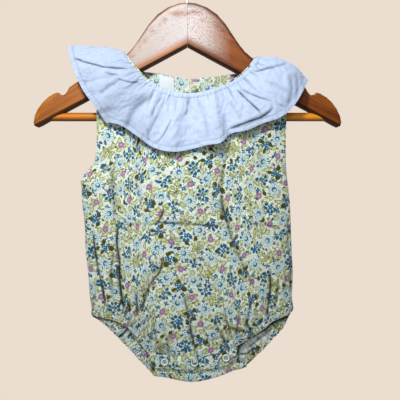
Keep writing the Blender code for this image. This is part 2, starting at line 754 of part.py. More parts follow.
def placket_grid():
    x = np.linspace(PLACKET_BOTTOM[0][0], PLACKET_BOTTOM[-1][0], 23)
    seam_x = np.clip(x, CROTCH_LEFT_X + 1, CROTCH_RIGHT_X - 1)
    y, z_top = placket_top(seam_x)
    z_top = np.minimum(z_top, smooth(PLACKET_BOTTOM, x) + PLACKET_WIDTH)
    z_low = smooth(PLACKET_BOTTOM, x)
    rows = []
    for share in (0.0, 0.35, 0.7, 1.0):
        forward = 0.7 * math.sin(share * math.pi)
        rows.append(np.stack([x, y - forward, z_top + (z_low - z_top) * share], axis=1))
    return np.array(rows)


def back_placket_grid():
    """From the back panel's lower edge, under the crotch and up behind the front placket."""
    back = back_panel_grid()[-1]
    front = placket_grid()
    x = np.linspace(-39.5, 68.5, 23)
    back_y, back_z = np.interp(x, back[:, 0], back[:, 1]), np.interp(x, back[:, 0], back[:, 2])
    low = smooth(CROTCH_BOTTOM, x) + WALL / 2
    behind = np.interp(x, front[0, :, 0], front[0, :, 1]) + LAYER
    lap = np.interp(x, front[0, :, 0], front[-1, :, 2]) + 9.0
    lap = np.maximum(lap, low + 12.0)
    rows = (
        (back_y, back_z - SEAM_GAP),
        (back_y, back_z - 1.3),
        (back_y * 0.6, low + 0.7),
        (behind * 0.3, low),
        (behind * 0.85, low + 2.0),
        (behind, low + 6.0),
        (behind, (low + 6.0 + lap) / 2),
        (behind, lap),
    )
    return np.array([np.stack([x, y, z], axis=1) for y, z in rows])


def make_plackets():
    sheet("crotch_placket_front", [placket_grid()], "floral_cotton")
    sheet("crotch_placket_back", [back_placket_grid()], "floral_cotton")


# ---------------------------------------------------------------- small fastenings and label
def ring_mesh(name, radius, wire, around=18, section=6):
    """A torus that faces -Y."""
    mesh = bpy.data.meshes.new(name)
    bm = bmesh.new()
    rings = []
    for i in range(around):
        angle = 2 * math.pi * i / around
        ring = []
        for j in range(section):
            turn = 2 * math.pi * j / section
            reach = radius + wire / 2 * math.cos(turn)
            point = (reach * math.cos(angle), wire / 2 * math.sin(turn), reach * math.sin(angle))
            ring.append(bm.verts.new(to_metres(point)))
        rings.append(ring)
    for i in range(around):
        for j in range(section):
            a, b = rings[i], rings[(i + 1) % around]
            k = (j + 1) % section
            bm.faces.new((a[j], b[j], b[k], a[k]))
    bmesh.ops.recalc_face_normals(bm, faces=bm.faces)
    bm.to_mesh(mesh)
    bm.free()
    mesh.shade_smooth()
    return mesh


def make_snaps():
    """Open ring caps of the press studs, on the front placket."""
    front = placket_grid()
    for number, (x, z) in enumerate(SNAPS, start=1):
        near = np.abs(front[..., 0] - x) < SNAP_DIAMETER
        surface = front[..., 1][near].min()
        mesh = ring_mesh("snap", (SNAP_DIAMETER - SNAP_WIRE) / 2, SNAP_WIRE)
        snap = place(f"snap_{number}", mesh, "clear_plastic")
        snap.location = to_metres((x, surface - WALL / 2 - SEAM_GAP - SNAP_WIRE / 2, z))


def make_button():
    """Small button on the collar's right end at the centre back."""
    near = collar_grid()[:3, -5:].reshape(-1, 3)
    surface = near[:, 1].max() + WALL / 2 + SEAM_GAP
    bm = bmesh.new()
    bmesh.ops.create_cone(
        bm,
        cap_ends=True,
        segments=20,
        radius1=BUTTON_DIAMETER * 0.0005,
        radius2=BUTTON_DIAMETER * 0.0005,
        depth=BUTTON_THICKNESS * 0.001,
    )
    mesh = bpy.data.meshes.new("back_button")
    bm.to_mesh(mesh)
    bm.free()
    button = place("back_button", mesh, "clear_plastic")
    button.rotation_euler = (math.pi / 2, 0.0, 0.0)
    button.location = to_metres((near[:, 0].mean(), surface + BUTTON_THICKNESS / 2, -152.2))


def make_label():
    """Blank label inside the back neck, on the panel's points moved in."""
    x = np.linspace(LABEL_LEFT_X, LABEL_RIGHT_X, 5)
    rows = []
    for share in np.linspace(0, 1, 5):
        z = top_height(x, 1) - 0.8 - LABEL_HEIGHT * share
        y = body_depth(x, z, 1) - (WALL + LABEL_WALL) / 2 - SEAM_GAP - 0.15
        rows.append(np.stack([x, y, z], axis=1))
    sheet("neck_label", [np.array(rows)], "label_satin", LABEL_WALL)


# ---------------------------------------------------------------- hanger
def outline_normals(points):
    """Outward normals at an arm's outline points; the two ends stay on the joint."""
    points = np.asarray(points, float)
    run = unit(np.gradient(points, axis=0))
    normals = np.stack([-run[:, 1], run[:, 0]], axis=1)
    normals[0], normals[-1] = (0.0, 1.0), (0.0, -1.0)
    return normals


def make_arm(name, side_sign):
    """One half of the hanger: its outline, rounded towards both faces."""
    outline = np.asarray(ARM_OUTLINE, float)
    normals = outline_normals(outline)
    half = HANGER_THICKNESS / 2
    layers = []
    for turn in (90, 45, 15):
        angle = math.radians(turn)
        layers.append((HANGER_ROUNDING * (1 - math.cos(angle)), HANGER_ROUNDING * (1 - math.sin(angle)) - half))
    layers += [(inset, -depth) for inset, depth in reversed(layers)]
    mesh = bpy.data.meshes.new(name)
    bm = bmesh.new()
    rings = []
    for inset, depth in layers:
        shrunk = outline - normals * inset
        rings.append([bm.verts.new(to_metres((side_sign * x, depth, z))) for x, z in shrunk])
    count = len(outline)
    for near, far in zip(rings, rings[1:]):
        for i in range(count):
            k = (i + 1) % count
            bm.faces.new((near[i], near[k], far[k], far[i]))
    bm.faces.new(rings[0])
    bm.faces.new(rings[-1])
    bmesh.ops.recalc_face_normals(bm, faces=bm.faces)
    bm.to_mesh(mesh)
    bm.free()
    mesh.shade_smooth()
    mesh.set_sharp_from_angle(angle=math.radians(40))
    return place(name, mesh, "varnished_wood")


def rod(name, radius, length, material, segments):
    """A straight round piece about the origin, along Z."""
    mesh = bpy.data.meshes.new(name)
    bm = bmesh.new()
    size = radius * 0.001
    bmesh.ops.create_cone(
        bm, cap_ends=True, segments=segments, radius1=size, radius2=size, depth=length * 0.001
    )
    bm.to_mesh(mesh)
    bm.free()
    mesh.shade_smooth()
    mesh.set_sharp_from_angle(angle=math.radians(40))
    return place(name, mesh, material)


def cutter(name, radius, length, segments):
    thing = rod(name, radius, length, "varnished_wood", segments)
    thing.hide_render = True
    thing.display_type = "WIRE"
    return thing


def cut(thing, tool):
    hole = thing.modifiers.new(tool.name, "BOOLEAN")
    hole.operation = "DIFFERENCE"
    hole.solver = "EXACT"
    hole.object = tool


def hook_path():
    """Middle line of the hook's wire: stem, shoulder, round crown, short tip."""
    reach = HOOK_INNER_RADIUS + HOOK_WIRE / 2
    centre_z = -HOOK_INNER_RADIUS
    points = [(0.0, HOOK_STEM_END_Z), (0.0, -58.0), (0.0, -50.0), (1.0, -44.5)]
    for degrees in range(-50, 211, 13):
        angle = math.radians(degrees)
        points.append((reach * math.cos(angle), centre_z + reach * math.sin(angle)))
    knots = np.arange(len(points), dtype=float)
    return smooth_through(knots, np.array(points), np.linspace(0, len(points) - 1, 40))


def make_hook():
    """Round wire along its middle line, closed at both ends."""
    path = hook_path()
    ahead = unit(np.gradient(path, axis=0))
    bm = bmesh.new()
    rings = []
    for (x, z), (run_x, run_z) in zip(path, ahead):
        ring = []
        for k in range(HOOK_SIDES):
            turn = 2 * math.pi * k / HOOK_SIDES
            aside = HOOK_WIRE / 2 * math.cos(turn)
            point = (x + run_z * aside, HOOK_WIRE / 2 * math.sin(turn), z - run_x * aside)
            ring.append(bm.verts.new(to_metres(point)))
        rings.append(ring)
    for near, far in zip(rings, rings[1:]):
        for k in range(HOOK_SIDES):
            after = (k + 1) % HOOK_SIDES
            bm.faces.new((near[k], near[after], far[after], far[k]))
    bm.faces.new(rings[0])
    bm.faces.new(rings[-1])
    bmesh.ops.recalc_face_normals(bm, faces=bm.faces)
    mesh = bpy.data.meshes.new("hanger_hook")
    bm.to_mesh(mesh)
    bm.free()
    mesh.shade_smooth()
    mesh.set_sharp_from_angle(angle=math.radians(50))
    place("hanger_hook", mesh, "hook_steel")


def make_hanger():
    bore = cutter("bar_bore", BAR_DIAMETER / 2 + BORE_CLEARANCE, 2 * BORE_HALF_LENGTH, 24)
    bore.rotation_euler = (0.0, math.pi / 2, 0.0)
    bore.location = to_metres((0.0, 0.0, BAR_Z))
    stem_hole = cutter("stem_hole", HOOK_WIRE / 2 + HOOK_HOLE_CLEARANCE, 40.0, 16)
    stem_hole.location = to_metres((0.0, 0.0, HOOK_STEM_END_Z - HOOK_HOLE_CLEARANCE + 20.0))
    for name, side_sign in (("hanger_half_left", -1), ("hanger_half_right", 1)):
        arm = make_arm(name, side_sign)
        cut(arm, bore)
        cut(arm, stem_hole)
    bar = rod("hanger_bar", BAR_DIAMETER / 2, 2 * BAR_HALF_LENGTH, "bar_wood", 24)
    bar.rotation_euler = (0.0, math.pi / 2, 0.0)
    bar.location = to_metres((0.0, 0.0, BAR_Z))
    make_hook()


def main():
    clear_scene()
    make_hanger()
    make_front_panel()
    make_back_panel()
    make_collar()
    make_leg_bands()
    make_plackets()
    make_snaps()
    make_button()
    make_label()


main()
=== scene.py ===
"""Baby romper with a white ruffle collar on a wooden clothes hanger: the dressed model.

Frame: X to the viewer's right, the garment's front faces -Y, +Z up, origin at the inside top of the
hook. Sizes and tables are in millimetres. The tables follow those of the solids, so that each cloth
shell lies in its solid.
"""

import math

import bpy
import numpy as np
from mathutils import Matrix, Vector
from mathutils.bvhtree import BVHTree


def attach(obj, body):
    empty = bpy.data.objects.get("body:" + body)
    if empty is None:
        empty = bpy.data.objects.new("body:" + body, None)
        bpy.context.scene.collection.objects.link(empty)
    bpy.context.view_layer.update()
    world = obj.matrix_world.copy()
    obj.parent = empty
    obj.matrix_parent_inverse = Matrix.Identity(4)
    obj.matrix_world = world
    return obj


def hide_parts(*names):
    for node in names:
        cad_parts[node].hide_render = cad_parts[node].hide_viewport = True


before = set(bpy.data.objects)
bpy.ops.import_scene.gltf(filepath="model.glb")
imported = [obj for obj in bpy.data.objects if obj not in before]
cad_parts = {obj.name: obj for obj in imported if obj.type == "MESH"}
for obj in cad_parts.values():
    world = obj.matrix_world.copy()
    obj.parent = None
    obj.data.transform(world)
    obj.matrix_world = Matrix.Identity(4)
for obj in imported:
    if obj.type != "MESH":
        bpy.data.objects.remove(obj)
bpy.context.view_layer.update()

# ---------------------------------------------------------------- sizes, mm
MM = 0.001  # in metres
UV_PER_MM = 0.01
CLOTH = 1.0  # thickness of the shown cloth
WALL, SEAM_GAP = 1.6, 0.3  # of the solids
LAYER = WALL + SEAM_GAP
SHARP_EDGE = math.radians(65)
HANGER_THICKNESS = 13.2
ARM_SLOPE, ARM_START_X, ARM_START_Z = 0.532, 80.7, -125.7
NECK_LEFT_X, NECK_RIGHT_X = -77.5, 84.3
NECK_DEPTH, NECK_SQUARENESS = 13.4, 12
BODY_FLATNESS, ARMHOLE_FLATNESS, HIP_Z = 0.4, 0.9, -438.0
PANEL_COLUMNS, PANEL_ROWS = 168, 226
COARSE_PANEL = (44, 28)  # columns and rows of the panels that the collar lies on
SHOULDER_ROUNDING = 7.0
SHOULDER_ROWS = (0.0, 0.3, 0.8, 1.7, 3.0, 4.8)
SLIT_DEPTH, SLIT_GAP, BACK_SEAM_X = 62.0, 2.4, 3.1
COLLAR_ROWS, COLLAR_BAND, COLLAR_HEM = (0.0, 3.6, 8.0, 18.0, 33.0, 51.0, 70.0), 7.0, 5.0
COLLAR_LENGTH, COLLAR_COLUMNS, COARSE_COLLAR_COLUMNS = COLLAR_ROWS[-1], 690, 145
CROTCH_LEFT_X, CROTCH_RIGHT_X, CROTCH_TURN = -38.5, 55.8, 4.6
LEG_ROWS, LEG_FRONT_COLUMNS, LEG_BACK_COLUMNS = 31, 170, 190
PLACKET_WIDTH, PLACKET_ROWS, PLACKET_COLUMNS = 15.0, 31, 220
LABEL_LEFT_X, LABEL_RIGHT_X, LABEL_HEIGHT, LABEL_WALL, LABEL_STEPS = -35.6, -17.3, 20.0, 1.0, 25
STITCH_PITCH, STITCH_LENGTH, STITCH_WIDTH = 2.4, 1.75, 0.42
SNAP_SIDES, BUTTON_SIDES, BUTTON_Z = 48, 40, -152.2
LEFT_SHOULDER = ((-112.9, -140.6), (-90.0, -128.4), (-84.0, -124.6), (-77.5, -118.6))
RIGHT_SHOULDER = ((84.3, -124.2), (90.0, -128.2), (97.0, -132.2), (123.2, -146.1))
SNAPS, SNAP_DIAMETER = ((-28.1, -502.6), (8.7, -503.4), (47.7, -497.2)), 9.2

# Profiles of a snap's ring, and of the button from the middle of its face to that of its back:
# radius and height.
SNAP_PROFILE = (
    (2.75, 0.0), (2.9, 0.45), (3.15, 0.75), (3.6, 0.95), (4.0, 0.95), (4.35, 0.75), (4.6, 0.3), (4.6, 0.0),
)
BUTTON_PROFILE = (
    (0.0, 1.5), (2.5, 1.5), (3.2, 1.75), (3.9, 2.0), (4.35, 1.75), (4.5, 1.1), (4.3, 0.3), (3.4, 0.0),
    (0.0, 0.0),
)

# Where the print starts on each piece, so that it does not run on across a seam.
BACK_PRINT, LEG_PRINT, PLACKET_PRINT, BACK_PLACKET_PRINT = (251.0, 37.0), (61, 300), (0, 200), (30, 120)

# ---------------------------------------------------------------- tables
# The body: height, left and right edge; height, depth of front and back, depth of the side edge.
BODY_EDGES = (
    (-535, -41, 71), (-523.8, -41, 71), (-517, -46, 71), (-510, -51.9, 73.9), (-501.9, -59.9, 81.8),
    (-492.5, -68.1, 90.6), (-483.1, -76.9, 99.5), (-473, -86.9, 108.6), (-462.5, -96.9, 118.6),
    (-454.2, -106.9, 123.1), (-449.6, -113.5, 125.3), (-445, -119.6, 127.4), (-439, -119.9, 131.6),
    (-425, -121.9, 130.9), (-395, -124.4, 131.9), (-365, -127.6, 130.6), (-335, -128.6, 129.4),
    (-305, -131.9, 128.1), (-287, -132.7, 126.2),
    (-276, -133.1, 124.9), (-265, -123.7, 123.4), (-255, -116.3, 122.6),
    (-240, -113.5, 122.2), (-194, -112.9, 123.2), (-143, -112.9, 123.2), (-110, -112.9, 123.2),
)
BODY_DEPTHS = (
    (-535, 8, 2.6, 0.15), (-512, 9, 5.5, 0.15), (-495, 9.8, 9, 0.15), (-480, 12.5, 13, 0.15),
    (-460, 16.5, 17, 0.15), (-440, 19, 20, 0.15), (-410, 21, 22, 0.15), (-360, 22, 22, 0.15),
    (-310, 20.5, 20, 0.15), (-277, 19, 18.2, 0.15), (-262, 18.5, 17.4, 3.6), (-248, 17.8, 16.8, 7.2),
    (-232, 17, 16, 9.3), (-190, 15, 14.6, 9.3), (-165, 14, 13.8, 9.3), (-140, 12, 12.4, 9.3),
    (-110, 10.5, 10.5, 9.3),
)
FRONT_NECKLINE = (
    (-77.5, -118.6), (-76.3, -120.8), (-74.5, -124.2), (-70, -131), (-66.4, -136.3), (-60.8, -141.6),
    (-54.6, -148.4), (-48.4, -155.2), (-40.9, -160.6), (-33.5, -164.4), (-23.7, -167.5), (-12.6, -170.3),
    (0.9, -171.9), (14.4, -170.8), (26.7, -167.9), (37.7, -164.2), (48.8, -159.1), (58.7, -153.2),
    (67.3, -146.5), (74.8, -139), (79.5, -132.6), (82, -128.9), (84.3, -124.2),
)
BACK_NECKLINE = (
    (-77.5, -118.6), (-76.3, -120.8), (-74.5, -124.2), (-68, -133.2), (-58, -139.8), (-40.3, -142),
    (-20, -146.3), (1.6, -149.3), (4.6, -149.3), (23.3, -147.2), (43.6, -145), (61.3, -143), (73.9, -138.6),
    (79.5, -132.6), (82, -128.9), (84.3, -124.2),
)
FRONT_LOWER_EDGE = (
    (-121, -437.4), (-117.1, -437.8), (-111.8, -439.2), (-104.1, -440.3), (-90.9, -442.4), (-78, -446.6),
    (-67.7, -453.8), (-59.2, -462.7), (-52.1, -474.4), (-46.8, -481.7), (-40.2, -489.5), (-38.5, -494.2),
    (-15.3, -494.2), (11.9, -495.4), (32.9, -492.9), (46, -488.5), (55.8, -483.8), (63, -474.5),
    (75.6, -464), (86, -457.3), (91.4, -453.7), (99.5, -446.3), (112.3, -440.5), (124.1, -436.8),
    (131.4, -432.5),
)
LEFT_LEG_LINE = (
    (-46.1, -494.4), (-53, -486.8), (-58.8, -478.8), (-65.6, -467.5), (-72.9, -459.9), (-81.5, -453.8),
    (-92.7, -450.2), (-105.3, -448.2), (-113.4, -447), (-118.6, -445.4),
)
RIGHT_LEG_LINE = (
    (63.8, -481), (79.7, -470.9), (90.4, -464), (96.5, -459.9), (103.8, -453), (115.1, -448),
    (125.4, -444.6), (129.6, -440.8),
)
LEG_TURN = (
    (0, 7.7, 7.7, 0.9), (0.06, 5.2, 5.2, 1), (0.12, 4.2, 4.8, 1.4), (0.24, 8.5, 9, 2.4),
    (0.4, 15, 14.5, 3.4), (0.65, 20, 19, 3.4), (1, 13, 13, 3.4),
)
CROTCH_BOTTOM = (
    (-41, -523), (-28.6, -524.2), (-16.2, -526.8), (-3.8, -529.2), (8.6, -530), (20.6, -528),
    (33.1, -524.8), (45.6, -520.6), (58.1, -515.4), (71, -512.6),
)
PLACKET_BOTTOM = (
    (-46, -509.5), (-15.3, -511.2), (11.9, -511.9), (32.9, -510), (50.2, -505.1), (62.5, -497.5),
)
BODY_FOLDS = (
    (-1, -117.6, -346, -102.3, -431, 2.6, 6.5), (-1, -88, -335, -79.4, -444, 3.4, 7),
    (-1, -66, -330, -60, -430, -1.6, 9), (-1, -29.6, -375, -64.4, -444, 2.6, 7),
    (-1, -4.9, -421, 12.8, -494, 2.6, 7), (-1, 103.6, -389, 99.4, -447, 2.8, 6.5),
    (-1, 41.5, -302, 79.4, -416, 2.4, 11), (-1, 62, -410, 44, -480, 2.2, 8),
    (-1, 118, -330, 119, -430, 1.6, 7), (-1, -96.9, -259, -90.6, -334, 2, 10),
    (-1, 43, -240, 40, -330, 2, 12), (-1, -10, -260, -22, -350, -1.8, 14),
    (1, -104, -330, -96, -440, 2.8, 7), (1, -70, -350, -62, -460, 3, 8), (1, -28, -390, -30, -490, 2.2, 8),
    (1, 30, -380, 34, -495, 2.4, 8), (1, 74, -340, 68, -455, 3.2, 8), (1, 108, -340, 100, -440, 2.6, 7),
    (1, -55, -230, -60, -320, 2, 12), (1, 62, -225, 56, -315, 2.2, 12),
)
COLLAR = (
    (1, 1.9, -148.3, 1.3, 24, -226, 1), (1, -8, -147.6, -13, 28.5, -226.5, 2),
    (1, -20, -145.5, -30, 23, -224, 1), (1, -31, -142.6, -47, 28, -219, 2),
    (1, -41, -141, -62, 22.5, -211, 1), (1, -50, -140, -76, 27.5, -205, 2.5),
    (1, -58, -138.6, -90, 22, -197, 1.5), (1, -65, -134.3, -104, 25, -184, 2.5),
    (1, -71, -128.6, -118, 22, -167, 2.5), (1, -78.2, -118.4, -134, 17, -141, 3),
    (0, -79.8, -116.2, -148.4, -1, -111.4, 2.5), (-1, -78.4, -117.8, -143, -17, -131, 2.5),
    (-1, -73.5, -124.9, -136.3, -22, -148.1, 3.5), (-1, -67.6, -133.8, -129.3, -23, -163.7, 4.5),
    (-1, -60.8, -140.6, -121.2, -27, -176.6, 5.5), (-1, -54.6, -147.4, -109.9, -26, -190.9, 6),
    (-1, -48.4, -154.2, -97.6, -19.5, -206, 5), (-1, -40.9, -159.6, -79.3, -25, -212.6, 3),
    (-1, -33.5, -163.4, -60.4, -29.5, -225.3, 4), (-1, -23.7, -166.5, -41.1, -25.5, -238.5, 2),
    (-1, -12.6, -169.3, -18.1, -30.5, -244.2, 3), (-1, 0.9, -170.9, 3.9, -23.5, -241, 1),
    (-1, 14.4, -169.8, 22.9, -29, -236.6, 3), (-1, 26.7, -166.9, 40.5, -31.5, -233.6, 4),
    (-1, 37.7, -163.2, 52.1, -22, -222.3, 2), (-1, 48.8, -158.1, 71.4, -25.5, -218.2, 3.5),
    (-1, 58.7, -152.2, 91.9, -23.5, -209.5, 4), (-1, 67.3, -145.5, 112.5, -27.5, -202.6, 5),
    (-1, 74.8, -138.5, 126, -25, -192.2, 6.5), (-1, 80.4, -131.6, 137.3, -22, -175.9, 8),
    (-1, 85.4, -124, 144.6, -14, -162.5, 9), (0, 87, -122, 149.2, -1, -152.9, 9.5),
    (1, 85.4, -124, 142.5, 14, -165, 8), (1, 80.4, -131.6, 132, 20, -180, 6),
    (1, 73.9, -137.8, 119, 26, -195, 4), (1, 66, -141, 104, 22, -204, 2.5),
    (1, 57, -142.3, 86, 27, -212, 2.5), (1, 46, -143.8, 69, 22.5, -217, 1.5),
    (1, 35, -145, 52, 28, -222, 2), (1, 23.3, -146.2, 35, 23, -224.5, 1),
    (1, 12, -147.6, 18, 28, -226.5, 2), (1, 4.3, -148.3, 4.9, 24, -226, 1),
)
# Creases of the front: depth, half-width, strength of the painted shade along the bottom, then the path's
# points across and up.
FRONT_CREASES = (
    (1.6, 2, 0.8, -117, -340, -114.5, -362, -111, -384, -105, -409, -101.4, -434),
    (2.4, 2.2, 1, -85.5, -330, -86.3, -359, -83.5, -377, -83.5, -396, -81.9, -415, -77, -442),
    (1.2, 2.6, 0.45, -89.8, -360, -93.4, -394, -91.2, -430),
    (1, 1.6, 0.8, -27.7, -312, -31.7, -322, -38, -333),
    (1.7, 2, 0.9, -28.5, -370, -32.3, -387, -45.3, -406, -50.2, -417, -55.5, -433, -62.4, -442),
    (1.6, 2, 0.85, -4.4, -415, 0.6, -442, 5.9, -471, 12.8, -496),
    (1.7, 2, 0.9, 101.4, -384, 102.4, -413, 100.5, -429, 97.3, -448),
    (1.6, 2.9, 0.55, 40.9, -296, 48.5, -328, 59.5, -363, 74.1, -393, 82.8, -410),
    (1, 2.4, 0.45, 125, -318, 124, -352, 128, -388, 126.5, -424),
    (1, 1.5, 0.6, 44, -462.5, 57, -460.5, 70, -463.5, 81, -467),
    (0.9, 1.5, 0.6, 76, -446, 74, -456, 84, -464),
    (0.8, 1.6, 0.4, 26, -476, 40, -472, 54, -476),
    (0.8, 2.4, 0.3, 120.4, -355, 121.7, -388, 120.4, -430),
    (1.2, 1.7, 0.75, -62.2, -412, -61.5, -446),
    (0.7, 1.6, 0.35, -88, -333.6, -64.8, -331.8, -43, -331.1),
    (1.4, 2.4, 0.62, -40, -330, -12, -331, 14, -332.6, 46, -335.6),
    (0.7, 1.6, 0.4, 74, -328.6, 94.8, -333, 116, -337.2),
    (1.7, 3.8, 0.38, -94.1, -250, -91.8, -296, -88, -340),
    (1.8, 3.6, 0.4, 46, -248, 42, -288, 43.4, -330),
    (-1, 8, 0, -13, -262, -20, -300, -18, -345),
    (1.2, 5, 0.12, -53, -250, -60, -285, -52, -318),
    (1.2, 6, 0.12, 84, -222, 92, -262, 88, -300),
    (0.9, 5, 0.1, 12, -352, 20, -392, 14, -424),
    (1.2, 1.8, 0.6, 30, -447, 40, -464, 50, -486),
    (1, 1.7, 0.5, 44, -436, 50, -456, 57, -478),
    (1, 1.8, 0.5, 64, -436, 62, -452, 60, -470),
    (0.8, 2, 0.35, 18, -452, 24, -470, 28, -490),
    (0.9, 2.4, 0.35, 78, -432, 74, -446, 70, -462),
    (0.8, 2.2, 0.3, -30, -452, -26, -470, -24, -492),
    (0.7, 1.8, 0.3, -42, -446, -40, -464, -36, -484),
    (0.7, 2, 0.3, 88, -412, 86, -428, 83, -446),
    (1, 1.8, 0.5, 112, -396, 111, -418, 108, -438),
)
# The same for the back.
BACK_CREASES = (
    (1.7, 2.6, 0.6, -104, -338, -101, -370, -99, -404, -94, -440),
    (1.9, 2.6, 0.7, -70, -352, -68, -384, -65, -420, -60, -458),
    (0.9, 3.5, 0.2, -40, -372, -44, -402, -40, -436),
    (1.3, 2.4, 0.5, -27, -398, -29, -430, -27, -470, -32, -492),
    (1.5, 2.6, 0.55, 28, -386, 33, -420, 30, -460, 36, -494),
    (1.9, 2.8, 0.65, 76, -342, 73, -380, 71, -420, 66, -452),
    (1.4, 2.4, 0.55, 108, -344, 106, -372, 104, -410, 99, -438),
    (0.9, 2.2, 0.35, 52, -404, 50, -430, 54, -462),
    (0.8, 2, 0.3, -84, -402, -82, -424, -86, -446),
    (0.7, 1.6, 0.4, -96, -336, -60, -333, -22, -335),
    (0.8, 1.6, 0.45, 8, -334, 48, -331, 84, -335),
    (1.4, 7, 0.1, -52, -236, -58, -270, -60, -318),
    (1.5, 7, 0.1, 64, -232, 60, -268, 56, -312),
    (-1, 9, 0, -6, -250, -2, -300, -8, -352),
    (0.8, 2, 0.3, 6, -442, 4, -470, 8, -498),
    (0.8, 2, 0.3, 92, -420, 88, -442, 86, -460),
)
# Creases of the ruffle, in front and behind.
RUFFLE_FRONT_CREASES = (
    (1.1, 1, 0.8, -140, -128, -118, -136.6, -100, -141, -72, -142.1),
    (0.9, 1.2, 0.5, -84, -156, -68, -159.5, -57, -158.5),
    (0.6, 1.1, 0.35, -101, -148, -82, -151),
    (2.4, 6.5, 0.35, -40, -171, -66, -193.5, -76, -217),
    (1, 1.8, 0.4, -30, -176, -40, -192, -43, -203),
    (0.7, 2, 0.22, -26, -178, -38, -205, -50, -228),
    (0.9, 1.1, 0.5, -18, -204, -29, -224, -38, -235),
    (0.9, 1.8, 0.4, 1.1, -178, 0.6, -188, -1.5, -200),
    (1.2, 1.25, 0.8, 60, -168, 74, -182, 90, -198),
    (1.1, 1.3, 0.55, 64, -167, 86, -178, 104, -184),
    (1.2, 1.6, 0.6, 80, -146, 98, -142, 122, -135),
    (1, 2.4, 0.3, 124, -149, 127, -169, 122, -189),
    (0.9, 2.2, 0.3, 133, -148, 135, -166, 130, -183),
    (0.7, 1.6, 0.3, 108, -186.5, 120, -190.4),
    (-1.3, 6, 0, -48, -170, -66, -178, -97, -192),
    (-1.3, 7, 0, -8, -182, -14, -212, -22, -238),
    (1.2, 4.5, 0.15, 16, -180, 22, -206, 26, -232),
    (-1, 5, 0, 30, -174, 36, -196, 39, -222),
    (0.9, 3.5, 0.15, 52, -182, 60, -196, 66, -206),
    (0.9, 4, 0.15, -84, -150, -110, -156, -128, -160),
    (1.2, 4.2, 0.25, -80, -155, -93, -164, -108, -175),
    (1, 4, 0.15, 94, -158, 108, -164, 128, -176),
    (0.7, 2, 0.2, -50, -214, -46, -226, -48, -232),
)
RUFFLE_BACK_CREASES = (
    (1.6, 4, 0.35, -22, -154, -28, -182, -34, -214),
    (1.7, 3.6, 0.35, -44, -150, -56, -174, -68, -200),
    (1.5, 3.2, 0.35, -62, -146, -82, -162, -100, -182),
    (1.3, 2.6, 0.5, -74, -132, -98, -138, -126, -150),
    (1.6, 3.8, 0.35, 16, -156, 22, -184, 26, -216),
    (1.5, 3.2, 0.35, 40, -152, 50, -176, 60, -206),
    (1.6, 3.6, 0.35, 62, -148, 80, -168, 96, -194),
    (1.4, 3, 0.45, 78, -140, 98, -152, 124, -172),
    (0.9, 2.4, 0.2, -8, -158, -10, -186, -12, -212),
)
# Creases of the cloth that shows through the leg openings, and of the crotch placket.
LEG_CREASES = (
    (1.2, 1.6, 0.8, 88, -486, 80, -489, 74, -493.5, 63, -494),
    (1, 1.6, 0.45, 90, -473, 82, -481, 74, -487),
    (0.8, 1.5, 0.35, 100, -466, 92, -472, 84, -476),
    (1.2, 2, 1.2, 72, -477, 64.8, -484, 62, -491, 60.8, -499, 60, -510),
    (1.4, 1.6, 1, -72, -454, -75, -462.5, -80, -469, -89, -475),
)
# Where the pale wrong side of the cloth shows through the right leg opening.
WRONG_SIDE = ((64, -504), (68, -491), (80, -481.5), (97, -470))
PLACKET_CREASES = (
    (1, 1.5, 0.8, 48.5, -509.5, 54.5, -505, 60, -499.4),
    (0.8, 1.4, 0.6, 37.5, -511, 38.5, -503, 42.5, -495),
    (0.8, 1.2, 0.8, 61.2, -482, 62, -490, 60.5, -498),
)
# Where the ruffle is folded over itself: the fold's edge in front, across and height.
FOLD_OVER = ((50, -214.2), (56, -212.2), (70.7, -206.8), (88.3, -200.3), (97.4, -194.7), (104, -188.2))


# ---------------------------------------------------------------- curves and weights
def limited(values):
    return np.clip(values, 0, 1)


def bell(distance, half_width, power=2):
    """1 at distance 0, falling to both sides."""
    return np.exp(-((distance / half_width) ** power))


def step_down(value):
    """1 well below 0, 0 well above it."""
    return 1 / (1 + np.exp(np.clip(value, -30, 30)))


def faded_ends(share, first, last):
    """1, falling to 0 over the first and the last part of a run."""
    return limited(share / first) * limited((1 - share) / last)


def smooth_through(knots, values, at):
    """Cubic Hermite curve with slopes from the neighbouring rows."""
    slopes = np.gradient(values, knots, axis=0)
    at = np.clip(at, knots[0], knots[-1])
    i = np.clip(np.searchsorted(knots, at, side="right") - 1, 0, len(knots) - 2)
    step = knots[i + 1] - knots[i]
    t = (at - knots[i]) / step
    if values.ndim > 1:
        t, step = t[..., None], step[..., None]
    start = (1 + 2 * t) * (1 - t) ** 2 * values[i] + t * (1 - t) ** 2 * step * slopes[i]
    end = t**2 * (3 - 2 * t) * values[i + 1] - t**2 * (1 - t) * step * slopes[i + 1]
    return start + end


def smooth(table, at, column=1):
    rows = np.asarray(table, float)
    return smooth_through(rows[:, 0], rows[:, column], at)


def straight(table, at):
    rows = np.asarray(table, float)
    return np.interp(at, rows[:, 0], rows[:, 1])


def run_length(points, axis=0):
    """Length from the first point to each point, along one direction of a grid or a polyline."""
    steps = np.linalg.norm(np.diff(points, axis=axis), axis=-1)
    return np.concatenate([0 * steps.take([0], axis), np.cumsum(steps, axis=axis)], axis=axis)


def along(points, shares):
    """Points at the given shares of a polyline's length."""
    points = np.asarray(points, float)
    lengths = run_length(points)
    lengths = lengths / lengths[-1]
    return np.stack([np.interp(shares, lengths, column) for column in points.T], axis=1)


def unit(vectors):
    return vectors / np.maximum(np.linalg.norm(vectors, axis=-1, keepdims=True), 1e-9)


def grid_normals(grid):
    """Normals of a grid of points, along its columns' direction times its rows' direction."""
    return unit(np.cross(np.gradient(grid, axis=1), np.gradient(grid, axis=0)))


# ---------------------------------------------------------------- relief of cloth
CREASE_POINTS, CREASE_END = 16, 0.22


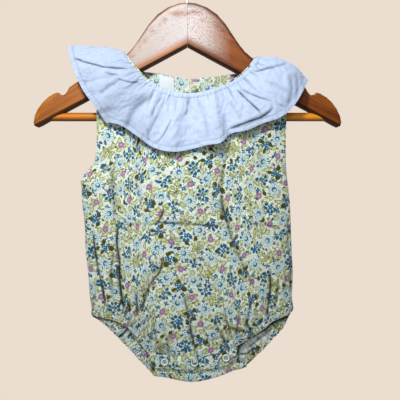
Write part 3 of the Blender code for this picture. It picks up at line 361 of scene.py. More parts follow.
def near_path(path, x, z):
    """Distance from a path, negative on its left, the length along it, and its whole length."""
    path = np.asarray(path, float)
    best, signed, place = np.full(np.shape(x), 1e9), np.zeros(np.shape(x)), np.zeros(np.shape(x))
    start = 0.0
    for (x0, z0), (x1, z1) in zip(path, path[1:]):
        length = math.hypot(x1 - x0, z1 - z0)
        ux, uz = (x1 - x0) / length, (z1 - z0) / length
        ahead = np.clip((x - x0) * ux + (z - z0) * uz, 0, length)
        dx, dz = x - x0 - ahead * ux, z - z0 - ahead * uz
        distance = np.hypot(dx, dz)
        closer = distance < best
        best = np.where(closer, distance, best)
        signed = np.where(closer, np.where(dx * uz - dz * ux > 0, distance, -distance), signed)
        place = np.where(closer, start + ahead, place)
        start += length
    return signed, place, start


def creased(x, z, creases):
    """Height that creases give the cloth at x and z, a soft trough and a lower ridge that leans to one
    side of it, and the painted shade along the bottom of each trough."""
    height, hollow = np.zeros(np.shape(x)), np.zeros(np.shape(x))
    for number, (depth, half_width, shade_strength, *path) in enumerate(creases):
        rough = np.reshape(path, (-1, 2)).astype(float)
        path = smooth_through(run_length(rough), rough, np.linspace(0, run_length(rough)[-1], CREASE_POINTS))
        distance, place, length = near_path(path, x, z)
        share = place / length
        ends = faded_ends(share, CREASE_END, CREASE_END)
        ends = ends * (2 - ends)
        uneven = 0.82 + 0.18 * np.sin(share * 9.0 + number * 1.7)
        lean = 1.0 if number % 2 else -1.0
        ridge = bell(distance * lean - 2.1 * half_width, 1.3 * half_width)
        height += depth * ends * uneven * (0.5 * ridge - bell(distance, half_width))
        # painted shade along the bottom of each crease
        hollow += 1.7 * shade_strength * ends * uneven * bell(distance, 0.45 * half_width + 0.6)
    return height, hollow


def rumple(x, z, size, seed):
    """Soft uneven waves between -1 and 1, about the given size across."""
    heights = np.random.default_rng(seed).uniform(-1, 1, (64, 64))
    gx, gz = np.asarray(x) / size + 32, np.asarray(z) / size + 32
    ix, iz = np.floor(gx).astype(int), np.floor(gz).astype(int)
    fx, fz = gx - ix, gz - iz
    fx, fz = fx * fx * (3 - 2 * fx), fz * fz * (3 - 2 * fz)
    near, far = (
        heights[ix % 64, row % 64] * (1 - fx) + heights[(ix + 1) % 64, row % 64] * fx for row in (iz, iz + 1)
    )
    return near * (1 - fz) + far * fz


def gathers(place, away, length, pitch, depth, reach, width, seed):
    """Grooves that run away from a gathered line: at uneven places along it, each of its own depth and
    reach."""
    chance = np.random.default_rng(seed)
    count = max(2, int(length / pitch))
    spots = (np.arange(count) + 0.5 + chance.uniform(-0.34, 0.34, count)) * length / count
    height = np.zeros(np.shape(place))
    for spot in spots:
        own = depth * chance.uniform(0.45, 1.15)
        far = reach * chance.uniform(0.4, 1.5)
        drift = chance.uniform(-0.12, 0.12)
        wide = width * (1 + away / (1.6 * far))
        height -= own * np.exp(-(((place - spot - drift * away) / wide) ** 2) - (away / far) ** 2)
    return height


# ---------------------------------------------------------------- the body's surface
def across(share, z):
    left = smooth(BODY_EDGES, z, 1) + WALL / 2
    right = smooth(BODY_EDGES, z, 2) - WALL / 2
    return (left + right) / 2 + share * (right - left) / 2


def share_of_width(x, z):
    left, right = across(-1.0, z), across(1.0, z)
    return np.clip((2 * x - left - right) / (right - left), -1.0, 1.0)


def top_height(x, side):
    """Height of the panel's upper edge: shoulder, neckline, shoulder."""
    neckline = FRONT_NECKLINE if side < 0 else BACK_NECKLINE
    return straight(LEFT_SHOULDER[:-1] + neckline + RIGHT_SHOULDER[1:], x)


def neck_depth(x, outwards=0.0):
    middle = (NECK_LEFT_X + NECK_RIGHT_X) / 2
    half = (NECK_RIGHT_X - NECK_LEFT_X) / 2 + outwards
    share = limited(np.abs(x - middle) / half)
    return (NECK_DEPTH + outwards) * np.sqrt(1 - share**NECK_SQUARENESS)


def folds(x, z, side):
    """How far the largest folds draw the cloth in at x and z."""
    total = np.zeros(np.broadcast(x, z).shape)
    for fold_side, x0, z0, x1, z1, depth, half_width in BODY_FOLDS:
        if fold_side != side:
            continue
        length = math.hypot(x1 - x0, z1 - z0)
        run_x, run_z = (x1 - x0) / length, (z1 - z0) / length
        ahead = (x - x0) * run_x + (z - z0) * run_z
        aside = (x - x0) * run_z - (z - z0) * run_x
        fade = limited(ahead / 25 + 0.5) * limited((length - ahead) / 25 + 0.5)
        total += depth * fade * bell(aside, half_width)
    return total


def body_depth(x, z, side):
    """Distance of the panel's middle surface from the middle plane."""
    share = share_of_width(x, z)
    middle = smooth(BODY_DEPTHS, z, 1 if side < 0 else 2)
    edge = np.maximum(smooth(BODY_DEPTHS, z, 3), SEAM_GAP / 2)
    open_edge = limited((edge - SEAM_GAP / 2) / 9.0)
    swell = (1 - share**2) ** (BODY_FLATNESS + (ARMHOLE_FLATNESS - BODY_FLATNESS) * open_edge)
    depth = edge + (middle - edge - folds(x, z, side)) * swell
    seam = np.maximum(neck_depth(x), SEAM_GAP / 2)
    turned = limited((top_height(x, side) - z) / SHOULDER_ROUNDING)
    return seam + (depth - seam) * (1 - (1 - turned) ** 3) ** (1 / 3)


def body_point(x, z, side):
    return np.stack([x + 0 * z, side * body_depth(x, z, side), z + 0 * x], axis=-1)


def column_shares(count):
    """Shares of the width for a panel's columns, closer together at the sides, one on the back seam."""
    shares = np.sin(np.linspace(-1, 1, count) * 1.3) / math.sin(1.3)
    seam = share_of_width(BACK_SEAM_X, -130.0)
    shares[np.argmin(np.abs(shares - seam))] = seam
    return shares


def panel_grid(side, columns, rows):
    """Points of a panel: a column for each share of the width, from the upper to the lower edge."""
    lower_edge = FRONT_LOWER_EDGE if side < 0 else [(x, z + CROTCH_TURN) for x, z in CROTCH_BOTTOM]
    narrowest_z = HIP_Z if side < 0 else BODY_EDGES[0][0]
    shares = column_shares(columns)
    # the edges' heights and the widths at them depend on each other: both are found step by step
    top, high, low = (np.full(len(shares), z) for z in (-140.0, -400.0, -534.0))
    for _ in range(8):
        top = top_height(across(shares, top), side)
    for _ in range(40):
        middle = (high + low) / 2
        above = middle > straight(lower_edge, across(shares, np.maximum(middle, narrowest_z)))
        high, low = np.where(above, middle, high), np.where(above, low, middle)
    rest = np.linspace(0, 1, rows)[:, None]
    upper_rows = top - np.array(SHOULDER_ROWS)[:, None]
    z = np.concatenate([upper_rows, (top - SHOULDER_ROUNDING) * (1 - rest) + low * rest])
    return body_point(across(shares, np.maximum(z, narrowest_z)), z, side)


def leg_edge(side_sign, side):
    """The gathered edge round a leg, from the hip to the crotch: across and height."""
    if side > 0:
        column = 2 if side_sign > 0 else 1
        return [(row[column], row[0]) for row in BODY_EDGES if -515 < row[0] < -444][::-1]
    if side_sign > 0:
        return [(x, z) for x, z in FRONT_LOWER_EDGE if x > CROTCH_RIGHT_X][::-1]
    return [(x, z) for x, z in FRONT_LOWER_EDGE if x < CROTCH_LEFT_X]


def body_relief(x, z, side):
    """Height of a panel's creases, gathers and small waves at x and z, and the painted shade in its creases
    and gathers.
    """
    height, hollow = creased(x, z, FRONT_CREASES if side < 0 else BACK_CREASES)
    calm = np.clip((-160 - z) / 60, 0.15, 1)
    height += calm * (0.55 * rumple(x, z, 17, 3 + side) + 0.3 * rumple(x, z * 0.8, 7.5, 8 + side))
    for side_sign in (-1, 1):
        distance, place, length = near_path(leg_edge(side_sign, side), x, z)
        pull = gathers(
            place, np.abs(distance), length,
            pitch=4.6, depth=1.0, reach=17.0, width=1.15, seed=20 + side + 5 * side_sign,
        )
        height += pull
        # painted shade in the grooves of the gathers at the leg edges
        hollow += limited(-pull - 0.3) * 1.2
    away = np.abs(z - straight(FRONT_LOWER_EDGE if side < 0 else CROTCH_BOTTOM, x))
    at_crotch = limited((x + 46) / 8) * limited((64 - x) / 8)
    pull = at_crotch * gathers(
        x + 40, away, 100.0, pitch=6.2, depth=0.7, reach=14.0, width=1.2, seed=41 + side
    )
    height += pull
    # painted shade in the grooves of the gathers at the crotch
    hollow += limited(-pull - 0.25) * 1.1
    return height, limited(hollow)


# ---------------------------------------------------------------- shells
def ids_of(grid):
    return np.arange(grid.shape[0] * grid.shape[1]).reshape(grid.shape[:2])


def quads_of(ids):
    return np.stack([ids[:-1, :-1], ids[:-1, 1:], ids[1:, 1:], ids[1:, :-1]], axis=-1).reshape(-1, 4)


def make_mesh(name, points, faces, materials, uv=None, slots=None, **weights):
    """A smooth piece, with its flat measures, its faces' materials and named weights of its points."""
    mesh = bpy.data.meshes.new(name)
    mesh.from_pydata((np.asarray(points) * MM).tolist(), [], [list(map(int, face)) for face in faces])
    for material in materials:
        mesh.materials.append(material)
    if uv is not None:
        corner = np.empty(len(mesh.loops), np.int32)
        mesh.loops.foreach_get("vertex_index", corner)
        layer = mesh.uv_layers.new(name="cloth")
        layer.data.foreach_set("uv", (np.asarray(uv)[corner] * UV_PER_MM).astype(np.float32).ravel())
    for weight_name, values in weights.items():
        layer = mesh.attributes.new(weight_name, "FLOAT", "POINT")
        layer.data.foreach_set("value", np.asarray(values, np.float32))
    if slots is not None:
        mesh.polygons.foreach_set("material_index", np.asarray(slots, np.int32))
    mesh.shade_smooth()
    mesh.set_sharp_from_angle(angle=SHARP_EDGE)
    thing = bpy.data.objects.new(name, mesh)
    bpy.context.scene.collection.objects.link(thing)
    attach(thing, "root")
    return thing


def shell(name, middle, quads, uv, outward, materials, wall=CLOTH, side=0, **weights):
    """A cloth piece of two layers about its middle surface: the right side, then the wrong side."""
    used, quads = np.unique(quads, return_inverse=True)
    quads = quads.reshape(-1, 4)
    middle, uv = middle[used], uv[used]
    corners = middle[quads]
    face_normals = np.cross(corners[:, 2] - corners[:, 0], corners[:, 3] - corners[:, 1])
    normals = np.zeros_like(middle)
    for k in range(4):
        np.add.at(normals, quads[:, k], face_normals)
    normals = unit(normals) * outward
    points = np.concatenate([middle + normals * wall / 2, middle - normals * wall / 2])
    if side:
        points[:, 1] = side * np.maximum(side * points[:, 1], SEAM_GAP / 2)
    count = len(middle)
    turned = quads if outward > 0 else quads[:, ::-1]
    a, b = turned.ravel(), np.roll(turned, -1, axis=1).ravel()
    key = np.minimum(a, b) * count + np.maximum(a, b)
    _, first, uses = np.unique(key, return_index=True, return_counts=True)
    a, b = a[first[uses == 1]], b[first[uses == 1]]
    rim = np.stack([b, a, count + a, count + b], axis=1)
    faces = np.concatenate([turned, count + turned[:, ::-1], rim])
    slots = np.repeat([0, len(materials) - 1, 0], [len(quads), len(quads), len(rim)])
    weights = {weight_name: np.tile(values.ravel()[used], 2) for weight_name, values in weights.items()}
    return make_mesh(name, points, faces, materials, np.tile(uv, (2, 1)), slots, **weights)


def grid_shell(name, grid, uv, outward, materials, **options):
    quads = quads_of(ids_of(grid))
    return shell(name, grid.reshape(-1, 3), quads, uv.reshape(-1, 2), outward, materials, **options)


def cloth_uv(grid, origin):
    """Flat measures of a panel: length along each row from the middle, and height."""
    centre = int(np.argmin(np.abs(grid[len(grid) // 2, :, 0])))
    run = run_length(grid, axis=1)
    u = run - run[:, centre : centre + 1] + grid[:, centre : centre + 1, 0]
    return np.stack([u + origin[0], grid[..., 2] + origin[1]], axis=-1)


def on_grid(grid, rows, columns):
    """Points at fractional rows and columns of a grid."""
    rows, columns = np.broadcast_arrays(rows, columns)
    r = np.clip(np.floor(rows).astype(int), 0, grid.shape[0] - 2)
    c = np.clip(np.floor(columns).astype(int), 0, grid.shape[1] - 2)
    fr, fc = (rows - r)[:, None], (columns - c)[:, None]
    upper = grid[r, c] * (1 - fc) + grid[r, c + 1] * fc
    lower = grid[r + 1, c] * (1 - fc) + grid[r + 1, c + 1] * fc
    return upper * (1 - fr) + lower * fr


# ---------------------------------------------------------------- stitches
def strand_faces(base, rings):
    """Faces of a strand of rings with three points each, the first of them numbered as given."""
    faces = []
    last = base + 3 * (rings - 1)
    for p in range(base, last, 3):
        faces += [(p, p + 1, p + 4, p + 3), (p + 1, p + 2, p + 5, p + 4), (p + 2, p, p + 3, p + 5)]
    return faces + [(base, base + 2, base + 1), (last, last + 1, last + 2)]


def stitch_row(grid, rows, columns, outward, pitch=STITCH_PITCH, length=STITCH_LENGTH, width=STITCH_WIDTH):
    """One row of lockstitches on the right side of a grid: points and faces."""
    path = on_grid(grid, rows, columns)
    normals = on_grid(grid_normals(grid), rows, columns)
    lengths = run_length(path)
    points, faces = [], []
    for spot in np.arange(pitch, lengths[-1] - pitch / 2, pitch):
        at = spot + length * np.array([-0.5, -0.3, 0.0, 0.3, 0.5])
        centre = np.stack([np.interp(at, lengths, path[:, k]) for k in range(3)], axis=1)
        normal = unit(np.array([np.interp(spot, lengths, normals[:, k]) for k in range(3)])) * outward
        aside = np.cross(normal, unit(centre[-1] - centre[0]))
        faces += strand_faces(len(points), len(centre))
        for place, wide in zip(centre, (0.15, 0.85, 1.0, 0.85, 0.15)):
            surface = place + normal * (CLOTH / 2 - 0.05)
            half = aside * width / 2 * wide
            points += [surface - half, surface + normal * (0.1 + 0.22 * wide), surface + half]
    return points, faces


def stitches(name, rows, material):
    """One piece of several rows of stitches."""
    points, faces = [], []
    for row_points, row_faces in rows:
        faces += [tuple(i + len(points) for i in face) for face in row_faces]
        points += row_points
    return make_mesh(name, points, faces, [material])


# ---------------------------------------------------------------- panels
def dressed_panel(side):
    """A panel's fine grid with its relief, flat measures and painted shade."""
    grid = panel_grid(side, PANEL_COLUMNS, PANEL_ROWS)
    x, z = grid[..., 0], grid[..., 2]
    height, hollow = body_relief(x, z, side)
    share = np.linspace(-1, 1, grid.shape[1])[None, :]
    below_top = grid[0, :, 2] - z
    calm = limited((1 - np.abs(share)) / 0.05) * limited(below_top / 12)
    if side < 0:
        # the lower edge hangs out a little at the middle snap
        lobe = bell(x - SNAPS[1][0], 8) * bell(z - grid[-1, :, 2], 10)
        grid[..., 2] -= 7.0 * lobe
        height += 4.2 * lobe
    uv = cloth_uv(grid, (0.0, 0.0) if side < 0 else BACK_PRINT)
    normals = grid_normals(grid) * side
    return grid + normals * (height * calm)[..., None], uv, hollow * calm


def make_front(materials):
    grid, uv, hollow = dressed_panel(-1)
    panel = grid_shell("romper_front", grid, uv, -1, materials, side=-1, hollow=hollow)
    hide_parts("front_panel")
    return grid


def make_back(materials):
    """One panel, with its slit open from the neck and closing towards its lower end."""
    grid, uv, hollow = dressed_panel(1)
    seam = int(np.argmin(np.abs(grid[0, :, 0] - BACK_SEAM_X)))
    below_top = grid[0, seam, 2] - grid[:, seam, 2]
    opening = SLIT_GAP / 2 * limited(1 - below_top / SLIT_DEPTH)
    opening = np.where(opening > 0, np.maximum(opening, 0.3), 0)
    split = opening > 0
    ids = ids_of(grid)
    left, right = ids[:, : seam + 1], ids[:, seam:].copy()
    right[split, 0] = ids.size + np.arange(split.sum())
    points, uv, hollow = (
        np.concatenate([values.reshape(ids.size, -1), values[split, seam].reshape(split.sum(), -1)])
        for values in (grid, uv, hollow)
    )
    points[left[split, -1], 0] -= opening[split]
    points[right[split, 0], 0] += opening[split]
    quads = np.concatenate([quads_of(left), quads_of(right)])
    panel = shell("romper_back", points, quads, uv, 1, materials, side=1, hollow=hollow)
    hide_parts("back_panel")
    return grid, seam


# ---------------------------------------------------------------- ruffle collar
def collar_sections(columns):
    """The collar's neck edge, hem and arch at each column."""
    rows = np.asarray(COLLAR, float)
    side, neck_x, neck_z = rows[:, 0], rows[:, 1], rows[:, 2]
    hem = rows[:, 3:6]
    neck = np.stack([neck_x, side * neck_depth(neck_x, LAYER), neck_z], axis=1)
    spacing = np.linalg.norm(np.diff(hem, axis=0), axis=1) + 8.0
    knots = np.concatenate([[0.0], np.cumsum(spacing)])
    at = np.linspace(0, knots[-1], columns)
    return [smooth_through(knots, values, at) for values in (neck, hem, rows[:, 6])]


def panel_surface(side):
    grid = panel_grid(side, *COARSE_PANEL)
    return BVHTree.FromPolygons(grid.reshape(-1, 3).tolist(), quads_of(ids_of(grid)).tolist())


def beneath(point, side):
    x, y, z = point
    if x < across(-1.0, z) or x > across(1.0, z) or z > top_height(x, side):
        return False
    return side * y < body_depth(x, z, side)


def pushed_out(points, spacing):
    """Moves points that are nearer to the panels or the hanger's arms than the given distance."""
    moved = points.copy()
    for side in (-1, 1):
        surface = panel_surface(side)
        for at in np.ndindex(moved.shape[:2]):
            point = Vector(moved[at])
            if side * point.y < -1.0:
                continue
            over_shoulder = not NECK_LEFT_X + 4 < point.x < NECK_RIGHT_X - 4
            found, _, _, distance = surface.find_nearest(point)
            away = (point - found).normalized()
            if beneath(point, side):
                away, distance = -away, -distance
            if over_shoulder and point.z > top_height(point.x, side) - SHOULDER_ROUNDING:
                while beneath(point, side) or distance < spacing:
                    point.z += 0.2
                    distance = surface.find_nearest(point)[3]
                moved[at] = point
            elif distance < spacing:
                moved[at] = found + away * spacing
    x, y, z = moved[..., 0], moved[..., 1], moved[..., 2]
    arm_top = ARM_START_Z - ARM_SLOPE * (np.abs(x) - ARM_START_X)
    beside_arm = (np.abs(x) > ARM_START_X) & (z < arm_top + 1.5) & (np.abs(y) > 1.0)
    least = HANGER_THICKNESS / 2 + spacing
    moved[..., 1] = np.where(beside_arm, np.sign(y) * np.maximum(np.abs(y), least), y)
    return moved


def collar_form():
    """The collar's form without its gathers: few rows and columns, clear of what it lies on."""
    neck, hem, arch = collar_sections(COARSE_COLLAR_COLUMNS)
    run = hem - neck
    width = np.linalg.norm(run, axis=1)
    down = unit(run)
    out = unit(-np.cross(np.gradient(neck + hem, axis=0), down))
    rows = []
    for distance in COLLAR_ROWS:
        reach = distance / COLLAR_LENGTH
        free = max(0.0, (distance - COLLAR_BAND) / (COLLAR_LENGTH - COLLAR_BAND))
        ripple = 0.5 * math.exp(-((max(0.0, distance - 9.0) / 16.0) ** 2))
        puff = 1.4 * math.exp(-(((distance - 13.0) / 6.0) ** 2))
        rise = arch * 4 * free * (1 - free) + ripple + puff
        rows.append(neck + down * (width * reach)[:, None] + out * rise[:, None])
    points = np.array(rows)
    reach = np.array(COLLAR_ROWS)[:, None] / COLLAR_LENGTH
    # the front's left part lies closer to the chest
    close = bell(points[..., 0] + 36, 44, 4) * (points[..., 1] < -8)
    points[..., 1] += 3.0 * close * reach**2
    spacing = LAYER + 0.9
    shift = pushed_out(points, spacing) - points
    shift[:, 1:-1] = (shift[:, :-2] + 2 * shift[:, 1:-1] + shift[:, 2:]) / 4
    return pushed_out(points + shift, spacing)


def collar_fine(columns):
    """The collar's form on a fine grid, and the distances of its rows from the neck edge."""
    form = collar_form()
    known = form.transpose(1, 0, 2).reshape(form.shape[1], -1)
    fine = smooth_through(np.arange(float(len(known))), known, np.linspace(0, len(known) - 1, columns))
    fine = fine.reshape(columns, len(COLLAR_ROWS), 3).transpose(1, 0, 2).reshape(len(COLLAR_ROWS), -1)
    distances = np.concatenate([np.linspace(0, 9, 11), np.linspace(9, COLLAR_LENGTH, 46)[1:]])
    grid = smooth_through(np.array(COLLAR_ROWS), fine, distances).reshape(len(distances), columns, 3)
    return grid, distances


def fold_over(grid):
    """Lays the ruffle over itself above the fold's edge: the upper layer stands out and hangs past it.
    Gives the painted shade under the fold."""
    distance, place, length = near_path(FOLD_OVER, grid[..., 0], grid[..., 2])
    ends = faded_ends(place / length, 0.16, 0.2) * (grid[..., 1] < 0)
    grid[..., 1] -= ends * 3.6 * step_down(distance / 0.55) * np.exp(-np.abs(distance) / 13)
    grid[..., 2] -= ends * 1.2 * bell(distance, 3.0)
    return 1.3 * ends * bell(distance - 1.4, 1.5, 4)


def make_collar(materials):
    grid, distances = collar_fine(COLLAR_COLUMNS)
    x, z = grid[..., 0], grid[..., 2]
    away = np.broadcast_to(distances[:, None], x.shape)
    neck_run, hem_run = run_length(grid[0]), run_length(grid[-1])
    place = np.broadcast_to(neck_run[None, :], x.shape)
    run = hem_run[None, :] + 0 * away
    faces_front = limited(0.5 - grid[..., 1] / 8)
    at_left = faces_front * limited((-x - 40) / 24)

    # gathers below and inside the casing
    from_band = away - COLLAR_BAND
    below, length = np.maximum(from_band, 0), neck_run[-1]
    loose = gathers(place, below, length, pitch=3.0, depth=0.9, reach=12.0, width=0.7, seed=61)
    loose += gathers(place, below, length, pitch=9.0, depth=0.9, reach=26.0, width=1.3, seed=62)
    casing = gathers(
        place, np.abs(from_band) * 0.3, length, pitch=2.8, depth=0.95, reach=7.0, width=0.6, seed=63
    )
    within = limited((COLLAR_BAND - away) / 0.8 + 0.5)
    pull = loose * (1 - 0.4 * at_left) * (1 - within) + casing * within
    height = pull + 0.8 * np.sin(math.pi * limited(away / COLLAR_BAND)) * within
    height -= 0.55 * bell(from_band, 0.8)

    # creases
    front, back = creased(x, z, RUFFLE_FRONT_CREASES), creased(x, z, RUFFLE_BACK_CREASES)
    height += front[0] * faces_front + back[0] * (1 - faces_front)
    hollow = front[1] * faces_front + back[1] * (1 - faces_front)
    # painted shade in the gathers' grooves, and painted shade over the front's left wing, where less light
    # falls
    hollow += limited(-pull - 0.35) * (0.5 + 0.15 * at_left) + 0.24 * at_left

    # soft waves, sharp small wrinkles and long ripples
    soft = limited((away - 12) / 15)
    height += soft * (0.5 * rumple(run, away, 13, 71) + 0.25 * rumple(run, away, 5.5, 72))
    large = 0.5 - np.abs(rumple(run + 0.6 * away, away, 9.0, 73))
    small = 0.5 - np.abs(rumple(run - 0.8 * away, away, 6.0, 74))
    height += soft * (1.0 * large + 0.6 * small)

    # hem
    width = np.linalg.norm(grid[-1] - grid[0], axis=1)[None, :]
    to_hem = width * (1 - away / COLLAR_LENGTH)
    height += 0.5 * limited((COLLAR_HEM - to_hem) / 0.8)
    seam = bell(to_hem - COLLAR_HEM - 0.5, 0.9)
    height -= 0.4 * seam
    height += gathers(
        run, np.abs(to_hem - 2.5), hem_run[-1], pitch=5.4, depth=0.6, reach=4.5, width=1.1, seed=75
    )
    # painted shade along the groove of the hem's seam
    hollow = hollow + 0.3 * seam
    ripples = np.sin(hem_run[None, :] / 4.1 + 1.5 * np.sin(hem_run[None, :] / 37))
    height += limited(away / 30 - 1.2) * 0.5 * ripples

    grid = grid - grid_normals(grid) * height[..., None]
    lowered = 1.4 + 2.0 * limited((np.abs(x - 3.4) - 38) / 20)
    grid[..., 2] -= lowered * faces_front * bell(away, 6.0)
    # a corner of the hem hangs down at the left
    corner = 3.2 * step_down((x + 96) / 0.6) * bell(x + 96, 9)
    grid[..., 2] -= corner * faces_front * (away / COLLAR_LENGTH) ** 8
    hollow = limited(hollow + fold_over(grid))
    uv = np.stack([run, -away * width / COLLAR_LENGTH], axis=-1)
    collar = grid_shell("ruffle", grid, uv, -1, materials, hollow=hollow)
    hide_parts("ruffle_collar")
    return grid, distances


# ---------------------------------------------------------------- leg casings
def leg_band_grid(side_sign, leg_line, front, back):
    """A ring round one leg, open at the crotch: its first half hangs from the front panel's lower edge,
    its second half turns forward from the back panel's edge."""
    crotch_x = CROTCH_LEFT_X if side_sign < 0 else CROTCH_RIGHT_X
    band = np.linspace(0, 1, LEG_ROWS)
    lower = front[-1]
    outer = lower[np.sign(lower[:, 0] - crotch_x) == side_sign]
    start = [crotch_x, np.interp(crotch_x, lower[:, 0], lower[:, 1]), straight(FRONT_LOWER_EDGE, crotch_x)]
    shares = np.linspace(0, 1, LEG_FRONT_COLUMNS)
    sewn = along(np.array([start, *(outer[::-1] if side_sign < 0 else outer)]), shares)
    free_xz = along(leg_line, shares)
    free = body_point(free_xz[:, 0], free_xz[:, 1], -1)
    sewn = sewn + unit(free - sewn) * SEAM_GAP
    front_rows = [sewn + (free - sewn) * share for share in band]

    edge = back[:, 0] if side_sign < 0 else back[:, -1]
    path = np.array([sewn[-1], *edge[edge[:, 2] < sewn[-1][2] - 2.0]])
    path[:, 1] = -SEAM_GAP / 2
    shares = np.linspace(0, 1, LEG_BACK_COLUMNS + 1)[1:]
    fold = along(path, shares)
    ahead = unit(np.gradient(fold, axis=0))
    inwards = np.stack([ahead[:, 2], np.zeros(len(fold)), -ahead[:, 0]], axis=1) * side_sign
    # the band turns down at the hip and up at the crotch
    settle = limited((shares - 0.78) / 0.22)[:, None]
    begin = limited(1 - shares / 0.13)[:, None]
    for weight, direction in ((settle, 1.0), (begin, -1.0)):
        inwards = unit(inwards * (1 - weight) + np.array([0.0, 0.0, direction]) * weight)
    width = smooth(LEG_TURN, shares, 1 if side_sign < 0 else 2)
    depth = smooth(LEG_TURN, shares, 3)
    if side_sign < 0:
        width = width + 6.0 * bell(shares - 0.25, 0.17)
        depth = depth + 4.5 * bell(shares - 0.27, 0.2)
    else:
        width = width + 15.0 * limited((shares - 0.6) / 0.4)
    back_rows = []
    for share in band:
        inward_share = np.interp(share, (0, 1 / 3, 2 / 3, 1), (0, 0, 0.3, 1))
        depth_share = np.interp(share, (0, 1 / 3, 2 / 3, 1), (0, 0.45, 0.95, 1))
        moved = fold + inwards * (width * inward_share)[:, None]
        if side_sign > 0:
            moved[:, 0] -= 10.5 * settle[:, 0] * min(1.0, 0.4 + share)
        moved[:, 1] -= depth * depth_share
        back_rows.append(moved)
    return np.concatenate([np.array(front_rows), np.array(back_rows)], axis=1)


def make_leg(side_sign, name, node, leg_line, front, back, materials):
    grid = leg_band_grid(side_sign, leg_line, front, back)
    columns = grid.shape[1]
    run = run_length(grid[len(grid) // 2])
    place = np.broadcast_to(run[None, :], grid.shape[:2])
    share = np.linspace(0, 1, len(grid))[:, None] + 0 * place
    ring = np.linspace(0, 1, columns)
    is_front = np.arange(columns)[None, :] < LEG_FRONT_COLUMNS
    calm = limited(np.abs(ring - LEG_FRONT_COLUMNS / columns) / 0.05) * limited((1 - ring) / 0.05)
    pull = gathers(
        place, np.abs(share - 0.25) * 5, run[-1],
        pitch=3.9, depth=1.0, reach=7.0, width=0.95, seed=81 + side_sign,
    )
    pull = (pull + 0.35) * calm[None, :] * np.where(is_front, 0.85, 0.9)
    pull = pull * np.where(is_front, 1.0, 0.35 + 0.65 * limited(share / 0.25))
    out = grid_normals(grid) * -side_sign
    from_panel = creased(grid[..., 0], grid[..., 2], FRONT_CREASES)[0] * is_front
    grid = grid + out * (pull + 0.6 * np.sin(math.pi * share) * calm[None, :])[..., None]
    grid[..., 1] -= from_panel * 0.8
    uv = np.stack([place * 1.3 + LEG_PRINT[0] * side_sign, LEG_PRINT[1] + run_length(grid)], axis=-1)

    # painted shade in the crevice between the casing and the cloth behind it, and the pale wrong side
    x, z = grid[..., 0], grid[..., 2]
    from_edge, place_on_edge, edge_length = near_path(leg_line, x, z)
    towards_hip = limited(place_on_edge / edge_length * 2.4 - 0.6)
    if side_sign < 0:
        crevice_shade = (0.4 + 0.8 * towards_hip) * bell(from_edge, 1.5 + 0.6 * towards_hip)
    else:
        crevice_shade = 1.5 * bell(from_edge, 2.0 + 3.2 * towards_hip)
    faded = 0.73 * bell(near_path(WRONG_SIDE, x, z)[0], 4.9, 4) * ~is_front
    height, shade_strength = creased(x, z, LEG_CREASES)
    grid[..., 1] -= 1.5 * height * ~is_front
    hollow = limited(limited(-pull) * 0.7 + crevice_shade * ~is_front + shade_strength * ~is_front)
    band = grid_shell(name, grid, uv, -side_sign, materials, side=-1, hollow=hollow, faded=faded)
    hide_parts(node)
    return grid


# ---------------------------------------------------------------- crotch
def placket_grid(columns, rows):
    x = np.linspace(PLACKET_BOTTOM[0][0], PLACKET_BOTTOM[-1][0], columns)
    seam_x = np.clip(x, CROTCH_LEFT_X + 1, CROTCH_RIGHT_X - 1)
    z_seam = straight(FRONT_LOWER_EDGE, seam_x)
    y = -body_depth(seam_x, z_seam, -1)
    z_top = z_seam - SEAM_GAP - 0.4
    z_low = smooth(PLACKET_BOTTOM, x)
    z_top = np.minimum(z_top, z_low + PLACKET_WIDTH) + 3.0
    made = []
    for share in np.linspace(0, 1, rows):
        depth = y - 0.7 * math.sin(share * math.pi) + 1.5 * limited(1 - share / 0.22)
        made.append(np.stack([x, depth, z_top + (z_low - z_top) * share], axis=1))
    return np.array(made)


def back_placket_grid(back):
    """From the back panel's lower edge, under the crotch and up behind the front placket."""
    coarse = placket_grid(23, 4)
    lower = back[-1]
    x = np.linspace(-43.4, 73.4, 149)
    back_y, back_z = np.interp(x, lower[:, 0], lower[:, 1]), np.interp(x, lower[:, 0], lower[:, 2])
    low = smooth(CROTCH_BOTTOM, x) + WALL / 2
    low = low + 0.8 * np.clip(-41 - x, 0, None) + 0.2 * np.clip(x - 66, 0, None)
    behind = np.interp(x, coarse[0, :, 0], coarse[0, :, 1]) + LAYER
    lap = np.maximum(np.interp(x, coarse[0, :, 0], coarse[-1, :, 2]) + 9.0, low + 12.0)
    lap += (low + 8.0 - lap) * limited((x - 58) / 5)
    knots = (
        (back_y, back_z - SEAM_GAP), (back_y, back_z - 1.3), (back_y * 0.6, low + 0.7), (behind * 0.3, low),
        (behind * 0.85, low + 2.0), (behind, low + 6.0), (behind, (low + 6.0 + lap) / 2), (behind, lap),
    )
    known = np.array([np.stack([x, y, z], axis=1) for y, z in knots])
    fine = smooth_through(np.arange(8.0), known.reshape(8, -1), np.linspace(0, 7, 29))
    return fine.reshape(29, len(x), 3)


